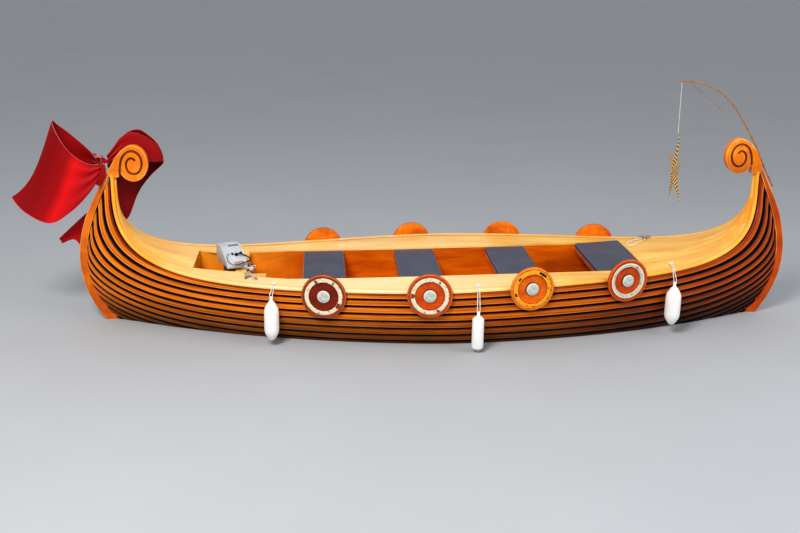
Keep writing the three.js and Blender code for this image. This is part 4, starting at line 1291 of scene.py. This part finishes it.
# %% Tie the knot
def fold_strand(points, width, thickness=0.007):
    """One fold of the knot: a rounded strap over a few places."""
    route = smooth_route([millimetres(*p) for p in points], 8)
    rings = []
    for i, point in enumerate(route):
        way = (route[min(i + 1, len(route) - 1)] - route[max(i - 1, 0)]).normalized()
        out = Vector((0, -1, 0)) - way * way.dot(Vector((0, -1, 0)))
        out.normalize()
        side = way.cross(out) * width
        rings.append([point + side * math.cos(a) + out * (thickness * math.sin(a)) for a in angles(12)])
    return skin(rings)


def fold_strands(bm, *strands):
    for points, width in strands:
        added(bm, fold_strand(points, width))
    return bm


knot = ball(1, (0, 0, 0), 4)
for vert in knot.verts:
    crease = 1 + 0.12 * math.sin(5 * math.atan2(vert.co.z, vert.co.x) + 2 * vert.co.y)
    vert.co = vert.co * Vector((0.041, 0.036, 0.046)) * crease
moved(knot, *millimetres(-2612, 0, 1255))
fold_strands(
    knot,
    ([(-2662, -14, 1296), (-2636, -38, 1278), (-2606, -44, 1248), (-2588, -36, 1214)], 0.009),
    ([(-2664, -18, 1268), (-2638, -42, 1254), (-2610, -46, 1232), (-2596, -36, 1200)], 0.008),
    ([(-2650, -10, 1316), (-2622, -34, 1300), (-2592, -42, 1268), (-2576, -34, 1234)], 0.008),
    ([(-2632, -30, 1222), (-2612, -42, 1212), (-2600, -40, 1188), (-2604, -30, 1164)], 0.010),
)
launch("ribbon_knot", knot, knot_cloth, ["bow_knot"], sharp=60)
gathers = fold_strands(
    bmesh.new(),
    ([(-2604, -42, 1236), (-2588, -46, 1196), (-2600, -50, 1140), (-2632, -54, 1084)], 0.017),
    ([(-2594, -40, 1250), (-2576, -44, 1206), (-2586, -47, 1150), (-2612, -50, 1100)], 0.012),
    ([(-2584, -40, 1262), (-2556, -22, 1262), (-2532, 14, 1262)], 0.013),
)
launch("ribbon_gathers", gathers, ribbon_painted_half_shade, sharp=60)

# %% [markdown]
# Ribbon this stiff keeps the folds it was bent to, so no cloth simulation is needed: it is laid by its two
# edges, row by row, with pleats that close up at the knot, and then given its thickness. Faces that look to
# the middle of a loop get a darker finish, painted shade.

# %% Fold the ribbon
RIBBON_THICKNESS = 0.004


def ribbon_skin(rows, pleats, flare=0.0, axis=None, per_span=9, width_steps=28):
    """A band between two edges, gathered at the knot and flared at its foot. axis: middle of a loop."""
    upper, lower = [smooth_route([millimetres(*row[edge]) for row in rows], per_span) for edge in (0, 1)]
    count = len(upper)
    rings = []
    for i in range(count):
        before, after = max(0, i - 1), min(count - 1, i + 1)
        way = upper[after] + lower[after] - upper[before] - lower[before]
        out = (lower[i] - upper[i]).cross(way).normalized()
        near = 1 - i / (count - 1)
        if axis:
            near = max(near, 1 - near)
        gather = max(0, near - 0.62) / 0.38
        ring = []
        for j in range(width_steps + 1):
            w = j / width_steps
            fold = math.sin(w * math.tau * pleats) * 0.008 * gather**1.5
            belly = math.sin(w * math.pi) * 0.012 * (1 - gather)
            drawn_in = flare * w * (1 - w**6) * max(0, 1 - abs(near - 0.5) / 0.3)
            ring.append(upper[i].lerp(lower[i], w) + out * (fold + belly) + Vector((drawn_in, 0, 0)))
        rings.append(ring)
    bm = skin(rings, [j / width_steps for j in range(width_steps + 1)], closed=False)
    area = sum(f.calc_area() for f in bm.faces)
    bmesh.ops.solidify(bm, geom=bm.faces[:], thickness=RIBBON_THICKNESS)
    outward(bm)
    for face in bm.faces if axis else ():
        inward = Vector(axis) - face.calc_center_median().xy
        face.material_index = int(face.normal.xy.dot(inward) > 0)
    return bm, area


# Each row across the band: a point of its upper edge and one of its lower edge, in millimetres
aft_rows = [
    [(-2602, -50, 1242), (-2600, -52, 1158)], [(-2692, -78, 1252), (-2700, -84, 1020)],
    [(-2797, -99, 1330), (-2832, -115, 891)], [(-2868, -95, 1421), (-3000, -106, 799)],
    [(-2928, -46, 1518), (-3194, -44, 869)], [(-2952, 18, 1567), (-3302, 22, 975)],
    [(-2931, 88, 1526), (-3221, 97, 891)], [(-2859, 148, 1447), (-3018, 159, 821)],
    [(-2771, 146, 1368), (-2841, 154, 918)], [(-2691, 97, 1306), (-2718, 99, 1085)],
    [(-2658, 41, 1281), (-2654, 39, 1211)],
]
fore_rows = [
    [(-2564, 42, 1297), (-2564, 42, 1226)], [(-2515, 58, 1359), (-2515, 62, 1228)],
    [(-2462, 74, 1428), (-2444, 81, 1232)], [(-2382, 85, 1465), (-2338, 95, 1234)],
    [(-2285, 106, 1429), (-2241, 113, 1234)], [(-2206, 168, 1363), (-2165, 168, 1215)],
    [(-2259, 231, 1403), (-2284, 231, 1092)], [(-2347, 221, 1465), (-2380, 221, 958)],
    [(-2435, 168, 1447), (-2453, 168, 782)], [(-2515, 115, 1359), (-2500, 115, 800)],
    [(-2568, 66, 1290), (-2569, 66, 1120)],
]
tail_rows = [
    [(-2606, 55, 1166), (-2597, 58, 1090)], [(-2645, 60, 1005), (-2602, 70, 890)],
    [(-2715, 66, 880), (-2660, 77, 700)], [(-2800, 68, 800), (-2790, 78, 560)],
    [(-2890, 72, 716), (-2869, 76, 622)], [(-2984, 74, 628), (-2966, 76, 592)],
]
for name, node, rows, flat_width, flare, axis, cloths in (
    ("ribbon_loop_aft", "bow_loop_aft", aft_rows, 0.72, 0.095, (-2.9, 0.025), [ribbon_painted_highlight, ribbon_painted_half_shade]),
    ("ribbon_loop_fore", "bow_loop_fore", fore_rows, 0.62, 0, (-2.36, 0.16), [ribbon_cloth, ribbon_inner_painted_shade]),
    ("ribbon_tail", "bow_tail", tail_rows, 0.16, 0, None, [tail_cloth]),
):
    bm, area = ribbon_skin(rows, 3 if axis else 1, flare, axis)
    ribbon = launch(name, bm, cloths, [node], sharp=60)

# %% [markdown]
# ## Outboard
# The small outboard stands in a well at the stern: a clamp on the cap board, a swivel tube, a pale grey
# head with a sloped front, a tiller with a round knob, and a black cable that loops between sockets. The
# head is easiest to draw square to the boat, as a profile carried across with eased edges and raised
# rails, and is then turned on the leg and rides on the motor's body.

# %% Build the motor's head
MOTOR_X = -1.684
HEAD_FOOT = 0.461
HEAD_TURN = math.radians(22)
HEAD_LEFT, HEAD_RIGHT = MOTOR_X - 0.066, MOTOR_X + 0.094
head_profile = [
    (0.058, HEAD_FOOT), (0.058, 0.578), (0.040, 0.600), (-0.053, 0.600), (-0.168, 0.540), (-0.214, 0.500),
    (-0.222, 0.482), (-0.222, HEAD_FOOT),
]


def across_profile(profile, x0, x1, round_over, segments=3):
    """(y, z) pairs carried along X, with every edge eased."""
    return ease(prism([(x0, y, z) for y, z in profile], (x1 - x0, 0, 0)), round_over, segments, 20)


def launch_on_motor(name, bm, finish, stands_for=()):
    """Turns a piece from square to the boat to where the head stands, and lets it ride on the motor."""
    axis = Vector((MOTOR_X, 0, 0))
    placed(bm, Matrix.Translation(axis) @ Matrix.Rotation(HEAD_TURN, 4, "Z") @ Matrix.Translation(-axis))
    launch(name, bm, finish, stands_for, body="motor")


housing = across_profile(head_profile, HEAD_LEFT + 0.003, HEAD_RIGHT - 0.003, 0.010)
rail_profile = [
    (0.060, 0.470), (0.060, 0.581), (0.041, 0.604), (-0.054, 0.604), (-0.170, 0.5435), (-0.216, 0.503),
    (-0.2245, 0.482), (-0.2245, 0.464), (-0.206, 0.464), (-0.206, 0.482), (-0.160, 0.528), (-0.050, 0.586),
    (0.034, 0.586), (0.043, 0.572), (0.043, 0.470),
]
for start, width in ((0.0, 0.011), (0.017, 0.008), (0.032, 0.008), (0.047, 0.012), (0.148, 0.012)):
    left = HEAD_LEFT + start
    added(housing, across_profile(rail_profile, left, left + width, 0.002, 2))
added(housing, block((MOTOR_X - 0.010, -0.010, 0.597), (MOTOR_X + 0.075, 0.034, 0.605), 0.004))
for k in range(8):
    added(housing, ball(0.0035, (MOTOR_X - 0.004 + 0.010 * k, -0.094, 0.5785)))
launch_on_motor("motor_housing", housing, motor_paint, ["motor_head"])
# The slot is a dark bar on the top: painted shade standing for a groove across it.
slot_profile = [(-0.040, 0.5965), (-0.040, 0.6035), (-0.056, 0.6035), (-0.064, 0.5975), (-0.060, 0.5925)]
slot_bar = across_profile(slot_profile, MOTOR_X - 0.004, MOTOR_X + 0.076, 0.001)
launch_on_motor("motor_slot", slot_bar, motor_dark_and_shade)
recess_profile = [
    (-0.224, 0.478), (-0.224, 0.486), (-0.2155, 0.503), (-0.206, 0.511), (-0.200, 0.505), (-0.205, 0.478),
]
recess = across_profile(recess_profile, MOTOR_X - 0.004, MOTOR_X + 0.072, 0.001)
launch_on_motor("motor_recess", recess, motor_blush)
badge = block((MOTOR_X + 0.010, -0.2245, 0.463), (MOTOR_X + 0.078, -0.2200, 0.471), 0.001)
added(badge, block((MOTOR_X + 0.072, -0.2245, 0.463), (MOTOR_X + 0.078, -0.2200, 0.494), 0.001))
launch_on_motor("motor_badge", badge, motor_teal)

# %% [markdown]
# Sockets, cable and knob are small, but they are what says outboard from a distance. The sockets are turned
# and tipped to the slope they sit on.

# %% Fit the motor's sockets, cable and tiller
slope_out = Vector((0, -0.060, 0.115)).normalized()
lean = Vector((0, 0, 1)).rotation_difference(slope_out).to_matrix().to_4x4()
PLUG = [(0, 0), (1, 0), (1, 0.4), (0.82, 0.6), (0.7, 1.35), (0.4, 1.55), (0, 1.55)]
sockets = bmesh.new()
for x, y, z, size in (
    (-0.001, -0.141, 0.5525, 0.0115), (0.030, -0.150, 0.548, 0.0165), (0.069, -0.140, 0.553, 0.0135),
):
    plug = turned([(r * size, h * 0.011) for r, h in PLUG], 20)
    foot = Vector((MOTOR_X + x, y, z)) - slope_out * 0.002
    added(sockets, placed(plug, Matrix.Translation(foot) @ lean))
launch_on_motor("motor_sockets", sockets, rubber)
cable_points = [
    (-1653, -146, 560), (-1658, -160, 566), (-1666, -192, 552), (-1656, -222, 524), (-1625, -234, 505),
    (-1583, -222, 497), (-1548, -200, 502), (-1515, -178, 508), (-1492, -152, 512), (-1500, -130, 526),
    (-1540, -140, 552), (-1590, -146, 564), (-1604, -142, 560),
]
cable_route = smooth_route([millimetres(*p) for p in cable_points], 10)


def cable_radius(share):
    """Thin where it leaves the left socket, thick at the right one."""
    return 0.0022 + 0.0028 * min(1, max(0, (share - 0.35) * 4))


cable = skin(rings_round(cable_route, cable_radius, 10))
launch("motor_lead", cable, rubber, ["motor_cable"], body="motor")
tiller_points = [
    (-1535, -180, 472), (-1531, -189, 472), (-1522, -211, 473), (-1502, -252, 480), (-1481, -288, 486),
]
tiller = skin(rings_round(smooth_route([millimetres(*p) for p in tiller_points], 8), 0.009, 14))
knob = bmesh.new()
bmesh.ops.create_uvsphere(knob, u_segments=28, v_segments=16, radius=0.018)
added(tiller, moved(knob, *millimetres(-1475, -298, 488)))
launch("motor_tiller_bar", tiller, motor_paint, ["motor_tiller"], body="motor")
dress(galvanised, "motor_clamp", "motor_leg", "propeller")

# %% [markdown]
# Beside the tiller a small rest is screwed to the pad: two pale arms over a dark foot, with a rubber tip.
# The clamp has a pair of screws with cross handles under the cap board's edge.

# %% Fit the tiller's rest and the clamp's screws
rest = bmesh.new()
for ends in (((-1517, -262, 450), (-1444, -424, 449)), ((-1502, -254, 450), (-1428, -414, 449))):
    start, end = (millimetres(*p) for p in ends)
    added(rest, skin(rings_round(smooth_route([start, (start + end) / 2, end], 4), 0.0045, 10)))
launch("tiller_rest", rest, motor_paint)
foot_outline = [(-1.521, -0.352), (-1.481, -0.350), (-1.474, -0.358), (-1.513, -0.422), (-1.521, -0.422)]
rest_foot = prism([(x, y, 0.4455) for x, y in foot_outline], (0, 0, 0.004))
added(rest_foot, ball(0.0085, (-1.434, -0.424, 0.4515), 3, (1.5, 1, 0.6)))
launch("tiller_rest_foot", rest_foot, motor_dark_and_shade)
screws = bmesh.new()
for y in (-0.028, 0.028):
    shank = turned([(0, 0), (0.006, 0), (0.006, 0.040), (0.012, 0.042), (0.012, 0.048), (0, 0.048)], 16)
    placed(shank, Matrix.Rotation(math.pi / 2, 4, "Y"))
    added(shank, block((0.040, -0.022, -0.004), (0.047, 0.022, 0.004), 0.002))
    added(screws, moved(shank, -1.509, y, 0.408))
launch("clamp_screws", screws, galvanised)

# %% [markdown]
# ## Rod and star
# A bent cane rises from the bow with a side twig, and a plaited straw star hangs from its tip on a thin
# string. A curve with a bevel could draw the cane, but rings round a route let it taper and give it knuckles
# where leaves grew.

# %% Set the rod and twig
rod_points = [
    (2672, 1056), (2647, 1103), (2612, 1165), (2578, 1224), (2543, 1299), (2512, 1362), (2472, 1426),
    (2428, 1496), (2379, 1571), (2335, 1634), (2282, 1701), (2222, 1760), (2155, 1809), (2090, 1844),
    (2018, 1870), (1965, 1881), (1904, 1886), (1831, 1884),
]
rod_route = smooth_route([millimetres(x, 0, z) for x, z in rod_points], 8)


def cane_radius(share):
    knuckle = 0.0008 * max(0, math.cos(share * math.tau * 11)) ** 12
    return 0.0078 - 0.0035 * share + knuckle


cane = skin(rings_round(rod_route, cane_radius, 12))
twig_points = [(1925, 1880), (1985, 1828), (2068, 1760), (2200, 1665), (2309, 1592)]
twig_route = smooth_route([millimetres(x, 4, z) for x, z in twig_points], 8)
added(cane, skin(rings_round(twig_route, lambda share: 0.0032 - 0.0016 * share, 8)))
launch("cane_rod", cane, cane_skin, ["star_rod"])
string_route = [millimetres(1852 + 6 * k / 12, 0, 1876.5 - 393 * k / 12) for k in range(13)]
line = skin(rings_round(string_route, 0.002, 8, strands=2, lay=0.012))
launch("star_line", line, rope_fibre, ["star_string"])

# %% [markdown]
# The star is plaited straw. It could be drawn flat, but a raised middle on each face and arms that twist a
# little catch the light as straw does. Its UV map runs out along each arm, and a wave texture makes the
# bands.

# %% Plait the star
def straw_finish():
    f = Finish("plaited_straw", 0.7, Sheen_Weight=0.2)
    vector = f.coordinates("UV")
    bands = {"Scale": 11.0, "Distortion": 1.2, "Detail": 1.0, "Vector": vector}
    wave = f.node("TexWave", bands, bands_direction="X").outputs["Fac"]
    tone = f.mixed(0.35, wave, f.noise(vector, 2.0, 5.0, stretch=(60, 8, 1)))
    colour = f.ramp(tone, (0.28, (0.07, 0.03, 0.006)), (0.5, (0.4, 0.2, 0.04)), (0.72, (0.8, 0.54, 0.18)))
    return f.done(colour, tone, 0.6, 0.004)


star = dict(x=1.858, z=1.180, radius=0.303, waist=0.32, turn=82)
# How much each arm, from the top one round, is bent off its even place
ARM_BENDS = [0, -8, -12, -6, 4]
plait = bmesh.new()
straw_map = plait.loops.layers.uv.new("straw")
corners = []
for i in range(10):
    reach = star["radius"] * (star["waist"] if i % 2 else 1)
    angle = math.pi / 2 + i * math.pi / 5 + (0 if i % 2 else math.radians(ARM_BENDS[i // 2]))
    corners.append(plait.verts.new((reach * math.cos(angle), 0, reach * math.sin(angle))))
front = plait.verts.new((0, -0.026, 0))
back = plait.verts.new((0, 0.026, 0))
for i in range(10):
    pair = (corners[i], corners[(i + 1) % 10])
    plait.faces.new((front, *pair))
    plait.faces.new((back, *reversed(pair)))
for face in plait.faces:
    tip = max(face.verts, key=lambda v: v.co.length)
    way = tip.co.normalized()
    other = Vector((way.z, 0, -way.x))
    for loop in face.loops:
        flat = Vector((loop.vert.co.x, 0, loop.vert.co.z))
        loop[straw_map].uv = (flat.dot(way) + 0.35 * abs(flat.dot(other)), flat.dot(other))
bmesh.ops.subdivide_edges(plait, edges=plait.edges[:], cuts=9, use_grid_fill=True)
for vert in plait.verts:
    arm = (Vector((vert.co.x, 0, vert.co.z)).length / star["radius"]) ** 2
    twist = 0.016 * arm * math.sin(3 * math.atan2(vert.co.z, vert.co.x))
    vert.co.y += twist + 0.002 * noise.noise(vert.co * 40)
outward(plait)
hanging = Matrix.Translation((star["x"], 0, star["z"]))
placed(plait, hanging @ Matrix.Rotation(math.radians(star["turn"]), 4, "Z"))
launch("plaited_star", plait, straw_finish(), ["straw_star"], sharp=20)

# %% [markdown]
# ## Floor and light
# The studio floor stands for the water, at its level, so the boat sits in it to the waterline. A pale sky
# and two large lamps give soft light with a gentle direction, as on the bright day of the picture.

# %% Make the floor and the lights
floor_bm = bmesh.new()
bmesh.ops.create_grid(floor_bm, x_segments=1, y_segments=1, size=120)
floor_paint = plain_finish("floor_paint", (0.42, 0.435, 0.455), 0.7, 3, 0.02, 0.03, 0.6)
floor = linked("studio_floor", mesh_of("studio_floor", floor_bm, floor_paint))

world = bpy.data.worlds.new("pale_sky")
world.use_nodes = True
sky = world.node_tree.nodes["Background"].inputs
sky["Color"].default_value = (0.94, 0.96, 1.0, 1)
sky["Strength"].default_value = 0.5
bpy.context.scene.world = world
bpy.context.scene.view_settings.view_transform = "Standard"
bpy.context.scene.view_settings.look = "Medium High Contrast"


def soft_lamp(name, place, target, size, power, colour):
    lamp = linked(name, bpy.data.lights.new(name, "AREA"))
    lamp.data.size = size
    lamp.data.energy = power
    lamp.data.color = colour
    lamp.location = place
    lamp.rotation_euler = (Vector(target) - Vector(place)).to_track_quat("-Z", "Y").to_euler()


soft_lamp("key_lamp", (-3.5, -6.5, 7.5), (0, 0, 0.4), 3.0, 720, (1.0, 0.97, 0.93))
soft_lamp("fill_lamp", (6.0, -4.0, 4.0), (0.5, 0, 0.5), 5.0, 180, (0.96, 0.98, 1.0))
